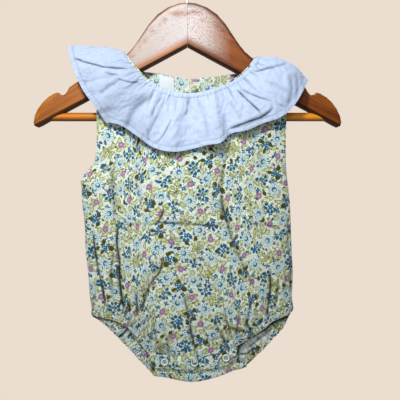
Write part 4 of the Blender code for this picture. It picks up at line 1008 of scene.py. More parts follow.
def make_plackets(back, materials):
    grid = placket_grid(PLACKET_COLUMNS, PLACKET_ROWS)
    x = grid[..., 0]
    share = np.linspace(0, 1, len(grid))[:, None] + 0 * x
    pull = gathers(
        x + 50, np.abs(share - 0.1) * 8, 115.0, pitch=5.5, depth=0.6, reach=6.0, width=1.1, seed=91
    )
    # the strip's end folds over beside the middle snap
    fold = bell(x - 12.5, 1.6)
    height = pull + 1.2 * bell(x - 8.6, 2.8) * limited(1.2 - share) - 1.0 * fold
    folded = creased(x, grid[..., 2], PLACKET_CREASES)
    height += folded[0]
    grid = grid - np.array([0.0, 1.0, 0.0]) * height[..., None]
    uv = np.stack([x, PLACKET_PRINT[1] + grid[..., 2]], axis=-1)
    # painted shade in the gathers' grooves, at the folded end and along the creases
    hollow = limited(-pull - 0.2) * 0.9 + 0.7 * fold + folded[1]
    # painted shadow round each snap's ring and inside it
    for snap_x, snap_z in SNAPS:
        radius = np.hypot(x - snap_x, grid[..., 2] - snap_z)
        hollow += 0.75 * bell(radius - 5.1, 0.8) + 0.5 * bell(radius, 2.6, 4)
    front_piece = grid_shell("placket_front", grid, uv, -1, materials, hollow=limited(hollow))
    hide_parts("crotch_placket_front")

    under = back_placket_grid(back)
    down = np.linspace(0, 1, len(under))[:, None] + 0 * under[..., 0]
    pull = gathers(
        under[..., 0] + 50, np.abs(down - 0.5) * 12, 115.0,
        pitch=5.0, depth=0.55, reach=9.0, width=1.1, seed=95,
    )
    under = under + grid_normals(under) * (pull * faded_ends(down, 0.1, 0.5))[..., None]
    uv = np.stack([under[..., 0] + BACK_PLACKET_PRINT[0], BACK_PLACKET_PRINT[1] - run_length(under)], axis=-1)
    # painted shade in the grooves of the gathers
    hollow = limited(-pull - 0.2) * 0.6
    back_piece = grid_shell("placket_back", under, uv, 1, materials, hollow=hollow)
    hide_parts("crotch_placket_back")
    return grid


# ---------------------------------------------------------------- small fastenings and label
def turned(profile, around):
    """Points and faces of a closed profile (radius, height) turned about an axis that points at -Y."""
    points, faces, count = [], [], len(profile)
    for i in range(around):
        angle = 2 * math.pi * i / around
        points += [(r * math.cos(angle), -h, r * math.sin(angle)) for r, h in profile]
        a, b = i * count, (i + 1) % around * count
        faces += [(a + j, a + (j + 1) % count, b + (j + 1) % count, b + j) for j in range(count)]
    return np.array(points), faces


def make_snaps(placket, material):
    """Open ring caps of the press studs: a rounded ring with a step inside."""
    for number, (x, z) in enumerate(SNAPS, start=1):
        near = np.abs(placket[..., 0] - x) < SNAP_DIAMETER / 2
        surface = placket[..., 1][near].min() - CLOTH / 2 - 0.1
        points, faces = turned(SNAP_PROFILE, SNAP_SIDES)
        snap = make_mesh(f"ring_snap_{number}", points + np.array([x, surface, z]), faces, [material])
        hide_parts(f"snap_{number}")


def make_button(collar, material, sewn_with):
    """Small button on the collar's right end at the centre back, sewn on with thread."""
    near = collar[:12, -16:].reshape(-1, 3)
    x0, surface, z0 = near[:, 0].mean(), near[:, 1].max() + CLOTH / 2 + 0.35, BUTTON_Z
    around, rings = BUTTON_SIDES, len(BUTTON_PROFILE) - 2
    points = [(0.0, BUTTON_PROFILE[0][1], 0.0)]
    for r, h in BUTTON_PROFILE[1:-1]:
        points += [(r * math.cos(a), h, r * math.sin(a)) for a in np.arange(around) * 2 * math.pi / around]
    points.append((0.0, BUTTON_PROFILE[-1][1], 0.0))
    faces = []
    for i in range(around):
        k = (i + 1) % around
        faces.append((0, 1 + k, 1 + i))
        for a in range(1, 1 + (rings - 1) * around, around):
            faces.append((a + i, a + k, a + around + k, a + around + i))
        a = 1 + (rings - 1) * around
        faces.append((a + i, a + k, len(points) - 1))
    button = make_mesh("pearl_button", np.array(points) + np.array([x0, surface, z0]), faces, [material])
    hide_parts("back_button")
    strands, faces = [], []
    for offset in (-0.35, 0.0, 0.35):
        faces += strand_faces(len(strands), 7)
        for x in np.linspace(-1.1, 1.1, 7):
            rise = surface + 1.55 + 0.3 * (1 - (x / 1.2) ** 2)
            for beside, higher in ((-0.14, 0.0), (0.0, 0.16), (0.14, 0.0)):
                strands.append((x0 + x, rise + higher, z0 + offset + beside))
    make_mesh("button_thread", strands, faces, [sewn_with])


def make_label(material):
    """Blank label inside the back neck."""
    shares = np.linspace(0, 1, LABEL_STEPS)
    x = np.linspace(LABEL_LEFT_X, LABEL_RIGHT_X, LABEL_STEPS)
    rows = []
    for share in shares:
        z = top_height(x, 1) - 0.8 - LABEL_HEIGHT * share
        y = body_depth(x, z, 1) - (WALL + LABEL_WALL) / 2 - SEAM_GAP - 0.15
        bow = 0.35 * np.sin(share * math.pi) * np.sin(np.linspace(0, math.pi, LABEL_STEPS))
        rows.append(np.stack([x, y - bow, z], axis=1))
    grid = np.array(rows)
    hollow = np.zeros(grid.shape[:2])
    label = grid_shell("blank_label", grid, grid[..., [0, 2]], -1, [material], wall=0.5, hollow=hollow)
    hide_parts("neck_label")
    return grid


# ---------------------------------------------------------------- shader nodes
def colour(red, green, blue):
    """Linear colour of a display colour given from 0 to 255."""
    levels = [value / 255 for value in (red, green, blue)]
    return (*[v / 12.92 if v < 0.04045 else ((v + 0.055) / 1.055) ** 2.4 for v in levels], 1.0)


def dimmed(tint, factor):
    return (*[factor * channel for channel in tint[:3]], 1.0)


def maths_method(operation):
    return lambda wire, *others: maths(operation, wire, *others)


class Wire:
    """A number, colour or vector inside a node tree; arithmetic on it adds Math nodes."""

    __add__, __sub__, __mul__ = maths_method("ADD"), maths_method("SUBTRACT"), maths_method("MULTIPLY")
    __truediv__, __abs__, floor = maths_method("DIVIDE"), maths_method("ABSOLUTE"), maths_method("FLOOR")
    mod, sin, cos = maths_method("FLOORED_MODULO"), maths_method("SINE"), maths_method("COSINE")

    def __init__(self, tree, socket):
        self.tree, self.socket = tree, socket

    def __rsub__(self, other):
        return maths("SUBTRACT", other, self)

    def ramp(self, slope, start):
        """The value times a slope, plus a start, held between 0 and 1."""
        return maths("MULTIPLY_ADD", self, slope, start, clamp=True)

    def inside(self, soft=0.12):
        """1 where the value is below 0, with a soft edge."""
        return self.ramp(-0.5 / soft, 0.5)

    def is_near(self, other):
        return maths("COMPARE", self, other, 0.25)


def set_inputs(node, values):
    """Gives a node's inputs, by name or number, a value or a wire each."""
    for key, value in values.items():
        if isinstance(value, Wire):
            value.tree.links.new(value.socket, node.inputs[key])
        else:
            node.inputs[key].default_value = value


def added(tree, kind, output, inputs=(), **settings):
    """Adds a node with its settings and inputs, and gives one of its outputs."""
    node = tree.nodes.new("ShaderNode" + kind)
    for name, setting in settings.items():
        setattr(node, name, setting)
    set_inputs(node, dict(inputs))
    return Wire(tree, node.outputs[output])


def maths(operation, *values, clamp=False):
    tree = next(value.tree for value in values if isinstance(value, Wire))
    return added(tree, "Math", 0, enumerate(values), operation=operation, use_clamp=clamp)


def painted(under, over, mask):
    """The colour under, covered by the colour over where the mask is 1."""
    return added(mask.tree, "Mix", 2, {0: mask, 6: under, 7: over}, data_type="RGBA")


def joined(x, y, z):
    return added(x.tree, "CombineXYZ", 0, enumerate((x, y, z)))


def split(vector):
    node = added(vector.tree, "SeparateXYZ", 0, {0: vector}).socket.node
    return [Wire(vector.tree, output) for output in node.outputs]


def noise(vector, scale, detail=2.0, roughness=0.5):
    inputs = {"Vector": vector, "Scale": scale, "Detail": detail, "Roughness": roughness}
    return added(vector.tree, "TexNoise", "Fac", inputs)


def curve(value, points):
    """A smooth function of a value, through points with coordinates between 0 and 1."""
    made = added(value.tree, "FloatCurve", 0, {"Value": value})
    mapping = made.socket.node.mapping
    line = mapping.curves[0]
    line.points[0].location, line.points[1].location = points[0], points[-1]
    for point in points[1:-1]:
        line.points.new(*point)
    mapping.update()
    return made


def polar(x, y):
    return maths("SQRT", x * x + y * y), maths("ARCTAN2", y, x)


# ---------------------------------------------------------------- the floral print
INK = {
    "ground": colour(227, 239, 226),
    "petal": colour(216, 237, 239),
    "petal_line": colour(30, 108, 142),
    "blue": colour(0, 95, 140),
    "core": colour(182, 212, 186),
    "mauve": colour(162, 114, 158),
    "mauve_light": colour(202, 164, 200),
    "mauve_dark": colour(128, 66, 122),
    "olive": colour(74, 70, 0),
    "leaf": colour(192, 200, 126),
    "leaf_pale": colour(220, 228, 186),
    "leaf_line": colour(104, 108, 40),
    "small_leaf": colour(164, 170, 102),
    "stem": colour(86, 98, 72),
}
CRISP = 0.01  # softness of a choice between kinds of motif


def motif_cells(u, v, width, height, lean, slant, jitter, repeat, seed):
    """One motif's own coordinates in each cell of a leaning lattice, turned and moved by chance, with the
    cell's column, row and chance; the chances repeat with the cloth's tile."""
    u, v = u * math.cos(lean) + v * math.sin(lean), v * math.cos(lean) - u * math.sin(lean)
    row = (v / height).floor()
    run = u / width + row * slant
    column = run.floor()
    cell = {"Vector": joined(column.mod(repeat), row.mod(repeat), seed)}
    drawn = added(u.tree, "TexWhiteNoise", "Color", cell, noise_dimensions="3D")
    chance = split(drawn)
    x = (run - column - 0.5) * width - (chance[0] - 0.5) * (2 * jitter)
    y = (v / height - row - 0.5) * height - (chance[1] - 0.5) * (2 * jitter)
    turn = chance[2] * (2 * math.pi)
    c, s = turn.cos(), turn.sin()
    value = Wire(u.tree, drawn.socket.node.outputs["Value"])
    return x * c + y * s, y * c - x * s, column, row, value


def spokes(radius, angle, count, turn=0.0):
    """Coordinates along and across the nearest of a number of spokes, and that spoke's number."""
    step = 2 * math.pi / count
    shifted = angle + (turn + step / 2)
    near = shifted.mod(step) - step / 2
    return radius * near.cos(), radius * near.sin(), (shifted / step).floor()


def leaf(ahead, aside, centre, half_length, half_width):
    """Below 0 inside a pointed oval."""
    reach = (ahead - centre) / half_length
    return abs(aside) - (1.0 - reach * reach) * half_width


def rosette(radius, angle, size, notch):
    """Below 0 inside a small flower with four petals."""
    return (radius - size) - (angle * 4.0).cos() * notch


def drawn_by_chance(number, value, share):
    """1 for a share of the numbered parts, chosen by chance."""
    mixed = ((number * 12.9 + value * 78.2).sin() * 437.58).mod(1.0)
    return maths("LESS_THAN", mixed, share)


def floral_print():
    """Colour of an all-over print of small flowers, leaves and stems, from flat measures in mm."""
    group = bpy.data.node_groups.new("floral_print", "ShaderNodeTree")
    group.interface.new_socket("Flat", in_out="INPUT", socket_type="NodeSocketVector")
    group.interface.new_socket("Color", in_out="OUTPUT", socket_type="NodeSocketColor")
    flat = Wire(group, group.nodes.new("NodeGroupInput").outputs["Flat"])
    outlet = group.nodes.new("NodeGroupOutput")
    u, v, _ = split(flat)
    # wobble of all outlines, as of pen strokes
    wobble, wobble_b = noise(flat, 0.35) - 0.5, noise(joined(v, u, 7.0), 0.35) - 0.5
    u, v = u + wobble * 1.6, v + wobble_b * 1.6

    # stems: thin curling lines
    curl = noise(joined(u, v, 3.0), 0.06, 1.0)
    stem = (abs((curl * 17.0).mod(1.0) - 0.5) - 0.075).inside(0.03)
    paint = painted(INK["ground"], INK["stem"], stem * 0.9)

    def draw(ink, mask):
        nonlocal paint
        paint = painted(paint, INK[ink], mask)

    # smallest layer: little leaves and buds
    x, y, _, _, chance = motif_cells(
        u, v, width=6.4, height=6.0, lean=0.9, slant=0.3, jitter=1.2, repeat=21.0, seed=5.0
    )
    small = leaf(x, y + x * x * 0.1, 0.0, 2.7, 1.3)
    kind = chance * 4.0
    draw("leaf_line", small.inside(0.15) * (kind - 2.4).inside(CRISP))
    draw("small_leaf", (small + 0.45).inside(0.15) * (kind - 1.9).inside(CRISP))
    draw("blue", leaf(x, y, 0.0, 2.3, 1.5).inside() * (3.25 - kind).inside(CRISP))

    # middle layer: outlined leaves, blue crosses, mauve buds
    x, y, column, row, chance = motif_cells(
        u, v, width=10.2, height=9.6, lean=-0.5, slant=0.4, jitter=1.5, repeat=10.0, seed=9.0
    )
    kind = (column * 3.0 + row * 7.0 + chance * 2.0).mod(10.0)
    radius, angle = polar(x, y)
    bowed = y + x * x * 0.07
    body = leaf(x, bowed, 0.0, 4.9, 2.7)
    is_leaf = (kind - 5.3).inside(CRISP)
    vein = (abs(bowed) - 0.16).inside(0.1) * (abs(x) - 2.9).inside(0.2)
    draw("leaf_line", body.inside() * is_leaf)
    draw("leaf", (body + 0.7).inside() * is_leaf)
    draw("leaf_pale", (body + 1.7).inside(0.2) * is_leaf)
    draw("leaf_line", vein * is_leaf)
    is_cross = (kind - 8.0).inside(CRISP) * (1.0 - is_leaf)
    draw("blue", rosette(radius, angle, 2.4, 0.9).inside() * is_cross)
    draw("petal", (radius - 0.5).inside(0.15) * is_cross)
    is_berry = (kind - 9.0).inside(CRISP) * (8.0 - kind).inside(CRISP)
    draw("olive", leaf(x, bowed, 0.0, 3.6, 2.3).inside() * is_berry)
    is_bud = 1.0 - (kind - 9.6).inside(CRISP)
    draw("mauve_dark", leaf(x, y, 0.0, 2.4, 1.4).inside() * is_bud)

    # large layer: nine places in turn along each row, the next row's shifted
    x, y, column, row, chance = motif_cells(
        u, v, width=19.4, height=18.0, lean=0.42, slant=0.45, jitter=1.6, repeat=9.0, seed=2.0
    )
    kind = (column + row * 4.0).mod(9.0)
    radius, angle = polar(x, y)

    # daisy: outlined narrow petals round a ring that is open to one side
    is_daisy = kind.mod(3.0).is_near(0.0)
    ahead, aside, _ = spokes(radius, angle, 12)
    body = leaf(ahead, aside, 5.0, 3.5, 1.1)
    draw("petal", body.inside() * is_daisy)
    draw("petal_line", (abs(body + 0.13) - 0.14).inside(0.08) * is_daisy)
    off_centre = maths("SQRT", (x - 1.0) * (x - 1.0) + y * y)
    draw("blue", (radius - 3.1).inside() * is_daisy)
    draw("core", (off_centre - 2.0).inside() * is_daisy)

    # spray: leaves round a middle
    ahead, aside, number = spokes(radius, angle, 5)
    shown = drawn_by_chance(number, chance, 0.8) * kind.is_near(7.0)
    body = leaf(ahead, aside, 5.2, 3.8, 2.0)
    draw("leaf_line", body.inside() * shown)
    draw("leaf", (body + 0.65).inside() * shown)
    draw("leaf_pale", (body + 1.3).inside(0.2) * shown)
    draw("leaf_line", (abs(aside) - 0.2).inside() * (ahead - 7.8).inside() * shown)

    # arc of blue buds on thin stems round a cross
    is_arc = kind.is_near(2.0) + kind.is_near(4.0)
    ahead, aside, number = spokes(radius, angle, 8, 0.3)
    shown = drawn_by_chance(number, chance, 0.64) * is_arc
    draw("stem", (abs(aside) - 0.2).inside(0.1) * (ahead - 5.6).inside() * shown)
    draw("blue", leaf(ahead, aside, 6.1, 2.6, 1.95).inside() * shown)
    draw("blue", rosette(radius, angle, 2.5, 0.95).inside() * is_arc)
    draw("petal", (radius - 0.6).inside(0.15) * is_arc)

    # mauve flower with two leaves behind it
    is_mauve = kind.is_near(1.0) + kind.is_near(8.0)
    sepal = leaf(abs(x) - 4.4, y + abs(x) * 0.4, 0.0, 3.4, 1.7)
    draw("leaf_line", sepal.inside() * is_mauve)
    draw("leaf", (sepal + 0.5).inside() * is_mauve)
    draw("mauve", (radius - 3.8 - (angle * 7.0).cos() * 0.25).inside() * is_mauve)
    draw("mauve_light", (radius - 1.1).inside(0.3) * is_mauve)

    # dark leaves round blue florets
    is_dark = kind.is_near(5.0)
    ahead, aside, number = spokes(radius, angle, 3)
    broad = 3.4 - (number + 2.0).mod(3.0) * 0.7
    body = abs(aside) - broad * (abs(aside) - leaf(ahead, aside, 7.0, 4.2, 1.0))
    draw("olive", body.inside() * is_dark)
    ahead, aside, _ = spokes(radius, angle, 3, math.pi / 3 + 0.35)
    floret, turn = polar(ahead - 3.6, aside)
    florets = maths("MINIMUM", rosette(floret, turn, 2.35, 0.8), rosette(radius, angle, 2.25, 0.75))
    draw("blue", florets.inside() * is_dark)
    draw("petal", (maths("MINIMUM", floret, radius) - 0.5).inside(0.15) * is_dark)
    set_inputs(outlet, {"Color": paint})
    return group


# ---------------------------------------------------------------- materials
SATIN_RIB = 0.5  # mm


def new_material(name):
    material = bpy.data.materials.new(name)
    material.use_nodes = True
    return material, material.node_tree


def dressed(material, base, rough, bump=None, others=()):
    """The material with its colour, its roughness, its bump (height, strength and distance in metres) and
    the shader's other values."""
    shader = material.node_tree.nodes["Principled BSDF"]
    set_inputs(shader, {"Base Color": base, "Roughness": rough, **dict(others)})
    if bump:
        inputs = zip(("Height", "Strength", "Distance"), bump)
        set_inputs(shader, {"Normal": added(material.node_tree, "Bump", "Normal", inputs)})
    return material


def object_place(tree):
    return added(tree, "TexCoord", "Object")


def flat_measures(tree):
    """The cloth's flat measures in mm."""
    inputs = {0: added(tree, "UVMap", "UV", uv_map="cloth"), "Scale": 1 / UV_PER_MM}
    return added(tree, "VectorMath", 0, inputs, operation="SCALE")


def weight(tree, name):
    return added(tree, "Attribute", "Fac", attribute_name=name)


def woven(flat, pitch):
    """Height of a plain weave with threads that vary in thickness, and that thickness."""
    u, v, _ = split(flat)
    slub_u = noise(joined(u * 1.6, v * 0.07, 1.0), 1.0, 3.0, 0.6)
    slub_v = noise(joined(u * 0.07, v * 1.6, 2.0), 1.0, 3.0, 0.6)
    warp, weft = (u * (2 * math.pi / pitch)).sin(), (v * (2 * math.pi / pitch)).sin()
    return warp * weft * 0.25 + slub_u * 0.9 + slub_v * 0.9, slub_u + slub_v


def crinkles(flat, size):
    """Height of small sharp-edged wrinkles, in patches, and painted shade lines along them."""
    bent = noise(flat, 0.5 / size)
    u, v, _ = split(flat)
    u, v = u + bent * size, v - bent * size
    fine = abs(noise(joined(u * 0.8, v * 0.35, 4.0), 1.0 / size, 2.0, 0.6) - 0.5)
    broad = abs(noise(joined(u * 0.3, v * 0.5, 9.0), 0.8 / size) - 0.5)
    patch = noise(flat, 0.2 / size, 1.0).ramp(3.0, -1.0)
    return (fine * 1.6 + broad) * patch + broad * 0.8, (fine - 0.025).inside(0.03) * patch


def cotton(name, ink, shade, pale, roughness, sheen, pitch, bump, crinkled):
    """Woven cotton: its colour, or the print's; with painted shade in its creases, gathers and small
    wrinkles, and uneven in its threads.
    """
    material, tree = new_material(name)
    flat = flat_measures(tree)
    height, slub = woven(flat, pitch)
    if isinstance(ink, bpy.types.NodeTree):
        ink = added(tree, "Group", "Color", node_tree=ink)
        set_inputs(ink.socket.node, {"Flat": flat})
    base = painted(ink, colour(222, 232, 230), maths("ADD", weight(tree, "faded"), pale, clamp=True))
    wrinkled, lines = crinkles(flat, 5.0)
    # uneven threads, plus painted shade along the small wrinkles and a slight darkening overall; then the
    # painted shade of creases and gathers
    threads_and_shade = (slub - 1.0) * 0.35 + lines * (0.12 * crinkled) + 0.08
    base = painted(base, shade, maths("ADD", threads_and_shade, weight(tree, "hollow") * 0.92, clamp=True))
    return dressed(
        material,
        base,
        maths("MULTIPLY_ADD", slub, 0.08, roughness - 0.08),
        (height * 0.12 + wrinkled * crinkled, bump, 0.001),
        {"Sheen Weight": sheen, "Sheen Roughness": 0.5, "Specular IOR Level": 0.25},
    )


def satin():
    material, tree = new_material("blank_satin")
    flat = flat_measures(tree)
    u, v, _ = split(flat)
    lines = (v * (2 * math.pi / SATIN_RIB)).sin()
    cloudy = noise(flat, 0.4, 3.0)
    base = painted(colour(214, 221, 231), colour(199, 208, 219), cloudy)
    return dressed(material, base, cloudy * 0.2 + 0.35, (lines + u.sin() * 0.2, 0.2, 0.00005))


def thread(name, tint):
    material, tree = new_material(name)
    twist = noise(object_place(tree), 2600.0)
    base = painted(tint, dimmed(tint, 0.7), twist)
    return dressed(material, base, 0.75, (twist, 0.3, 0.0001), {"Sheen Weight": 0.15})


def plastic(name, tint):
    """Milky clear plastic with fine scratches."""
    material, tree = new_material(name)
    cloudy = noise(object_place(tree), 300.0, 3.0)
    return dressed(
        material,
        painted(tint, dimmed(tint, 0.9), cloudy),
        cloudy * 0.25 + 0.12,
        (cloudy, 0.1, 0.0002),
        {"Subsurface Weight": 0.15, "Subsurface Scale": 0.001, "Coat Weight": 0.4},
    )


# Height of the hanger's upper edge over the distance from its middle: shares of 0.1 m and of -0.2 m.
HANGER_TOP = (
    (0.0, 0.2725), (0.15, 0.286), (0.28, 0.3225), (0.45, 0.3975), (0.61, 0.506), (0.77, 0.6075), (1.0, 0.68)
)


def with_painted_glare(base, dark, place, facing, strength, near, fade, fleck_run, gain, least, middle, outer, rim):
    """The wood's colour with a painted highlight of the lamp's glare, pale and flecked, on the half's broad
    middle, a dark upper edge and painted shade along the lower edge. The highlight reaches from the neck
    to a near distance and fades from there; the rim is the slope, start and strength of the dark upper edge."""
    x, y, z = place
    from_top = (z * -1.0 - curve(abs(x) * 10.0, HANGER_TOP) * 0.2) * 0.75
    above = z + abs(x) * ARM_SLOPE + 0.1094
    mask = from_top.ramp(360.0, -0.75) * above.ramp(110.0, -0.35)
    mask = mask * abs(x).ramp(-1.0 / fade, 1.0 + near / fade) * facing.ramp(-5.0, -3.2)
    flecks = noise(joined(x * fleck_run, z * 620.0, y * 620.0), 1.0, 3.0, 0.7)
    smudges = noise(joined(x * 60.0, z * 90.0, 5.0), 1.0, 3.0, 0.65)
    smudged = smudges.ramp(6.0, -2.7) * (abs(from_top - 0.011) - 0.004).inside(0.004)
    mask = mask * flecks.ramp(gain, least) * (1.0 - smudged * 0.75) * strength
    # painted highlight: pale tints where the lamp's glare falls on the lacquer
    base = painted(base, painted(colour(*outer), colour(*middle), abs(x).ramp(-22.0, 1.0)), mask)
    upper_edge = from_top.ramp(rim[0], rim[1]) * abs(x).ramp(-100.0, 9.0) * rim[2]
    # painted shade along the lower edge of the face, where it turns under away from the light
    edges = upper_edge + above.ramp(-900.0, 1.9)
    return painted(base, dimmed(dark, 0.3), edges * facing.ramp(-4.0, 0.5))


def wood(name, light, middle, dark, slant, coat, coat_roughness, painted_glare=None, painted_light=0.0):
    """Lacquered wood: long uneven grain and pores, a painted highlight of the lamp's glare by the neck and
    painted shade on the underside.
    """
    material, tree = new_material(name)
    x, y, z = split(object_place(tree))
    run, cross = x + z * slant, z + abs(x) * slant
    warp = noise(joined(run * 18.0, cross * 90.0, y * 90.0), 1.0, 4.0, 0.6)
    rings = noise(joined(run * 5.0, cross * 160.0 + warp * 3.0, y * 110.0), 1.0, 4.0, 0.55)
    pores = noise(joined(run * 60.0, cross * 900.0, y * 900.0), 1.0)
    base = painted(dark, middle, rings.ramp(3.4, -1.1))
    base = painted(base, light, warp.ramp(2.6, -1.25))
    base = painted(base, dark, pores.ramp(-5.0, 1.9) * 0.6)
    _, towards_back, upwards = split(added(tree, "NewGeometry", "Normal"))
    # painted highlight of the lamp's glare on the lacquer
    if painted_glare:
        base = with_painted_glare(base, dark, (x, y, z), towards_back, **painted_glare)
    if painted_light:
        # painted light: the bar's right end lighter, where the ruffle shades it
        base = painted(base, colour(252, 160, 30), x.ramp(20.0, -1.6) * painted_light)
    # painted shade on faces that turn downwards, away from the light
    base = painted(base, dimmed(dark, 0.35), upwards.ramp(-1.6, -0.3) * 0.85)
    return dressed(
        material,
        base,
        rings * 0.2 + 0.3,
        (rings + pores * 0.8, 0.25, 0.0004),
        {"Coat Weight": coat, "Coat Roughness": coat_roughness, "Specular IOR Level": 0.2},
    )


def steel():
    material, tree = new_material("hook_steel_wire")
    x, y, z = split(object_place(tree))
    drawn = noise(joined(x * 900.0, y * 900.0, z * 60.0), 1.0, 3.0)
    base = painted(colour(214, 214, 216), colour(150, 150, 154), drawn)
    return dressed(material, base, drawn * 0.2 + 0.18, (drawn, 0.1, 0.0002), {"Metallic": 1.0})


def plain(name, tint, roughness):
    material, tree = new_material(name)
    mottle = noise(object_place(tree), 3.0, 3.0)
    return dressed(material, painted(tint, dimmed(tint, 0.96), mottle), roughness)


# ---------------------------------------------------------------- camera, lights, floor
CAMERA_PLACE = (0.015625, -0.8, -0.3025)
CAMERA_SENSOR, CAMERA_LENS = 36.0, 57.6
BODY_MIDDLE, NECK_MIDDLE = (0.0, 0.0, -0.25), (0.0, 0.0, -0.1)
# name, place, what it is turned to, diameter, watts, tint
LIGHTS = (
    ("key", (-0.14, -0.42, 0.08), BODY_MIDDLE, 0.1, 2.9, (1.0, 0.99, 0.97)),
    ("glare", (-0.081, -1.5, 0.3675), NECK_MIDDLE, 0.26, 3.0, (0.97, 0.98, 1.0)),
    ("rim", (0.9, 0.9, 0.5), BODY_MIDDLE, 0.8, 8.0, (1.0, 1.0, 1.0)),
)
FLOOR_CORNERS = ((-1.4, -1.4, -0.78), (1.4, -1.4, -0.78), (1.4, 0.5, -0.78), (-1.4, 0.5, -0.78))


def placed(name, data, location):
    thing = bpy.data.objects.new(name, data)
    thing.location = location
    bpy.context.scene.collection.objects.link(thing)
    return thing


def area_light(name, location, target, size, watts, tint):
    data = bpy.data.lights.new(name, "AREA")
    data.shape = "DISK"
    data.size, data.energy, data.color = size, watts, tint
    light = placed(name, data, location)
    light.rotation_euler = (Vector(target) - light.location).to_track_quat("-Z", "Y").to_euler()


def make_world(scene):
    """Warm pale surroundings that are seen, and a weaker neutral light on the object, mostly from above."""
    scene.world = bpy.data.worlds.new("studio")
    scene.world.use_nodes = True
    tree = scene.world.node_tree
    set_inputs(tree.nodes["Background"], {"Color": colour(235, 221, 207)})
    seen = Wire(tree, tree.nodes["Background"].outputs[0])
    upwards = split(added(tree, "TexCoord", "Generated"))[2]
    light = {"Color": (0.88, 0.94, 1.0, 1.0), "Strength": maths("MULTIPLY_ADD", upwards, 0.25, 0.25)}
    fill = added(tree, "Background", 0, light)
    to_camera = added(tree, "LightPath", "Is Camera Ray")
    mix = added(tree, "MixShader", 0, {"Fac": to_camera, 1: fill, 2: seen})
    set_inputs(tree.nodes["World Output"], {"Surface": mix})
    scene.view_settings.view_transform = "Standard"


def make_studio():
    scene = bpy.context.scene
    camera = placed("camera", bpy.data.cameras.new("camera"), CAMERA_PLACE)
    camera.rotation_euler = (math.pi / 2, 0.0, 0.0)
    camera.data.sensor_width, camera.data.lens = CAMERA_SENSOR, CAMERA_LENS
    scene.camera = camera
    make_world(scene)
    for light in LIGHTS:
        area_light(*light)
    mesh = bpy.data.meshes.new("floor")
    mesh.from_pydata(FLOOR_CORNERS, [], [(0, 1, 2, 3)])
    mesh.materials.append(plain("pale_floor", colour(228, 222, 214), 0.9))
    floor = placed("floor", mesh, (0.0, 0.0, 0.0))


# ---------------------------------------------------------------- all stitches
def make_stitches(front, back, seam, collar, distances, legs, placket, label, white, mint):
    columns = np.arange(0.0, collar.shape[1] - 1, 1.0)
    numbers = np.arange(float(len(distances)))
    width = np.linalg.norm(collar[-1] - collar[0], axis=1)[columns.astype(int)]
    from_neck = COLLAR_LENGTH * (1 - (COLLAR_HEM + 0.3) / width)
    rows = [
        stitch_row(collar, np.interp(distance, distances, numbers), columns, -1)
        for distance in (COLLAR_BAND, from_neck)
    ]
    stitches("ruffle_stitches", rows, white)

    # armholes, and both sides of the slit
    rows = []
    for grid, outward in ((front, -1), (back, 1)):
        down = np.arange(14.0, grid.shape[0] * 0.44, 1.0)
        rows += [stitch_row(grid, down, column, outward) for column in (4.6, grid.shape[1] - 5.6)]
    slit = np.arange(2.0, 42.0, 1.0)
    rows += [stitch_row(back, slit, seam + aside, 1) for aside in (-1.6, 1.6)]
    stitches("bodice_stitches", rows, mint)

    # leg casings and front placket: grid, row, columns, side
    lines = []
    for grid, outward in zip(legs, (1, -1)):
        lines.append((grid, 3.0, np.arange(2.0, LEG_FRONT_COLUMNS - 4, 1.0), outward))
        lines.append((grid, 27.5, np.arange(LEG_FRONT_COLUMNS + 12.0, grid.shape[1] - 3, 1.0), outward))
    lines += [(placket, row, np.arange(2.0, placket.shape[1] - 2, 1.0), -1) for row in (2.6, 27.0)]
    stitches("casing_stitches", [stitch_row(*line) for line in lines], mint)
    upper_edge = stitch_row(label, 1.4, np.arange(0.5, 23.5, 1.0), -1, pitch=1.6, length=1.1, width=0.3)
    stitches("label_stitches", [upper_edge], white)


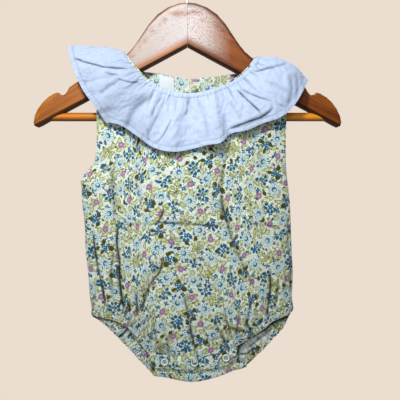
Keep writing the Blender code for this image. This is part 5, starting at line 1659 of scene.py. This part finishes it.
# ---------------------------------------------------------------- all pieces
def make_hanger_materials():
    """Lacquered wood for the halves and the bar, plated steel for the hook."""
    # painted highlights of the lamp's glare on each half's lacquer
    left_painted_glare = dict(
        strength=0.9, near=0.062, fade=0.045, fleck_run=190.0, gain=3.4, least=-0.6,
        middle=(194, 192, 195), outer=(172, 164, 160), rim=(-420.0, 1.5, 0.95),
    )
    right_painted_glare = dict(
        strength=0.92, near=0.0225, fade=0.032, fleck_run=620.0, gain=4.2, least=-1.3,
        middle=(213, 209, 210), outer=(192, 183, 176), rim=(-300.0, 2.2, 0.6),
    )
    left_tints = colour(196, 126, 46), colour(164, 94, 20), colour(106, 52, 8)
    right_tints = colour(170, 94, 18), colour(136, 66, 2), colour(88, 38, 0)
    bar_tints = colour(206, 128, 14), colour(188, 104, 0), colour(134, 66, 0)
    return {
        "hanger_half_left": wood(
            "lacquered_left_wood", *left_tints, 0.5, coat=0.15, coat_roughness=0.34, painted_glare=left_painted_glare
        ),
        "hanger_half_right": wood(
            "lacquered_right_wood", *right_tints, 0.5, coat=0.1, coat_roughness=0.32, painted_glare=right_painted_glare
        ),
        "hanger_bar": wood("lacquered_bar_wood", *bar_tints, 0.0, coat=0.32, coat_roughness=0.22, painted_light=0.7),
        "hanger_hook": steel(),
    }


def main():
    make_studio()
    printed = dict(ink=floral_print(), shade=colour(40, 44, 26), pitch=0.5, bump=0.5, crinkled=0.5)
    outside = cotton("floral_cotton_outside", pale=0.0, roughness=0.88, sheen=0.12, **printed)
    inside = cotton("floral_cotton_inside", pale=0.12, roughness=0.92, sheen=0.1, **printed)
    white = cotton(
        "white_ruffle_cotton", ink=colour(192, 209, 238), shade=colour(84, 96, 112),
        pale=0.0, roughness=0.85, sheen=0.2, pitch=0.4, bump=0.8, crinkled=1.4,
    )
    white_thread = thread("white_thread", colour(224, 232, 244))
    mint_thread = thread("mint_thread", colour(196, 208, 190))

    faces = [outside, inside]
    front = make_front(faces)
    back, seam = make_back(faces)
    collar, distances = make_collar([white])
    legs = [
        make_leg(-1, "leg_opening_left", "leg_casing_left", LEFT_LEG_LINE, front, back, faces),
        make_leg(1, "leg_opening_right", "leg_casing_right", RIGHT_LEG_LINE, front, back, faces),
    ]
    placket = make_plackets(back, faces)
    make_snaps(placket, plastic("milky_snap_plastic", colour(224, 242, 242)))
    make_button(collar, plastic("pearl_plastic", colour(238, 238, 236)), white_thread)
    label = make_label(satin())
    make_stitches(front, back, seam, collar, distances, legs, placket, label, white_thread, mint_thread)

    for node, material in make_hanger_materials().items():
        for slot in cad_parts[node].material_slots:
            slot.material = material


main()
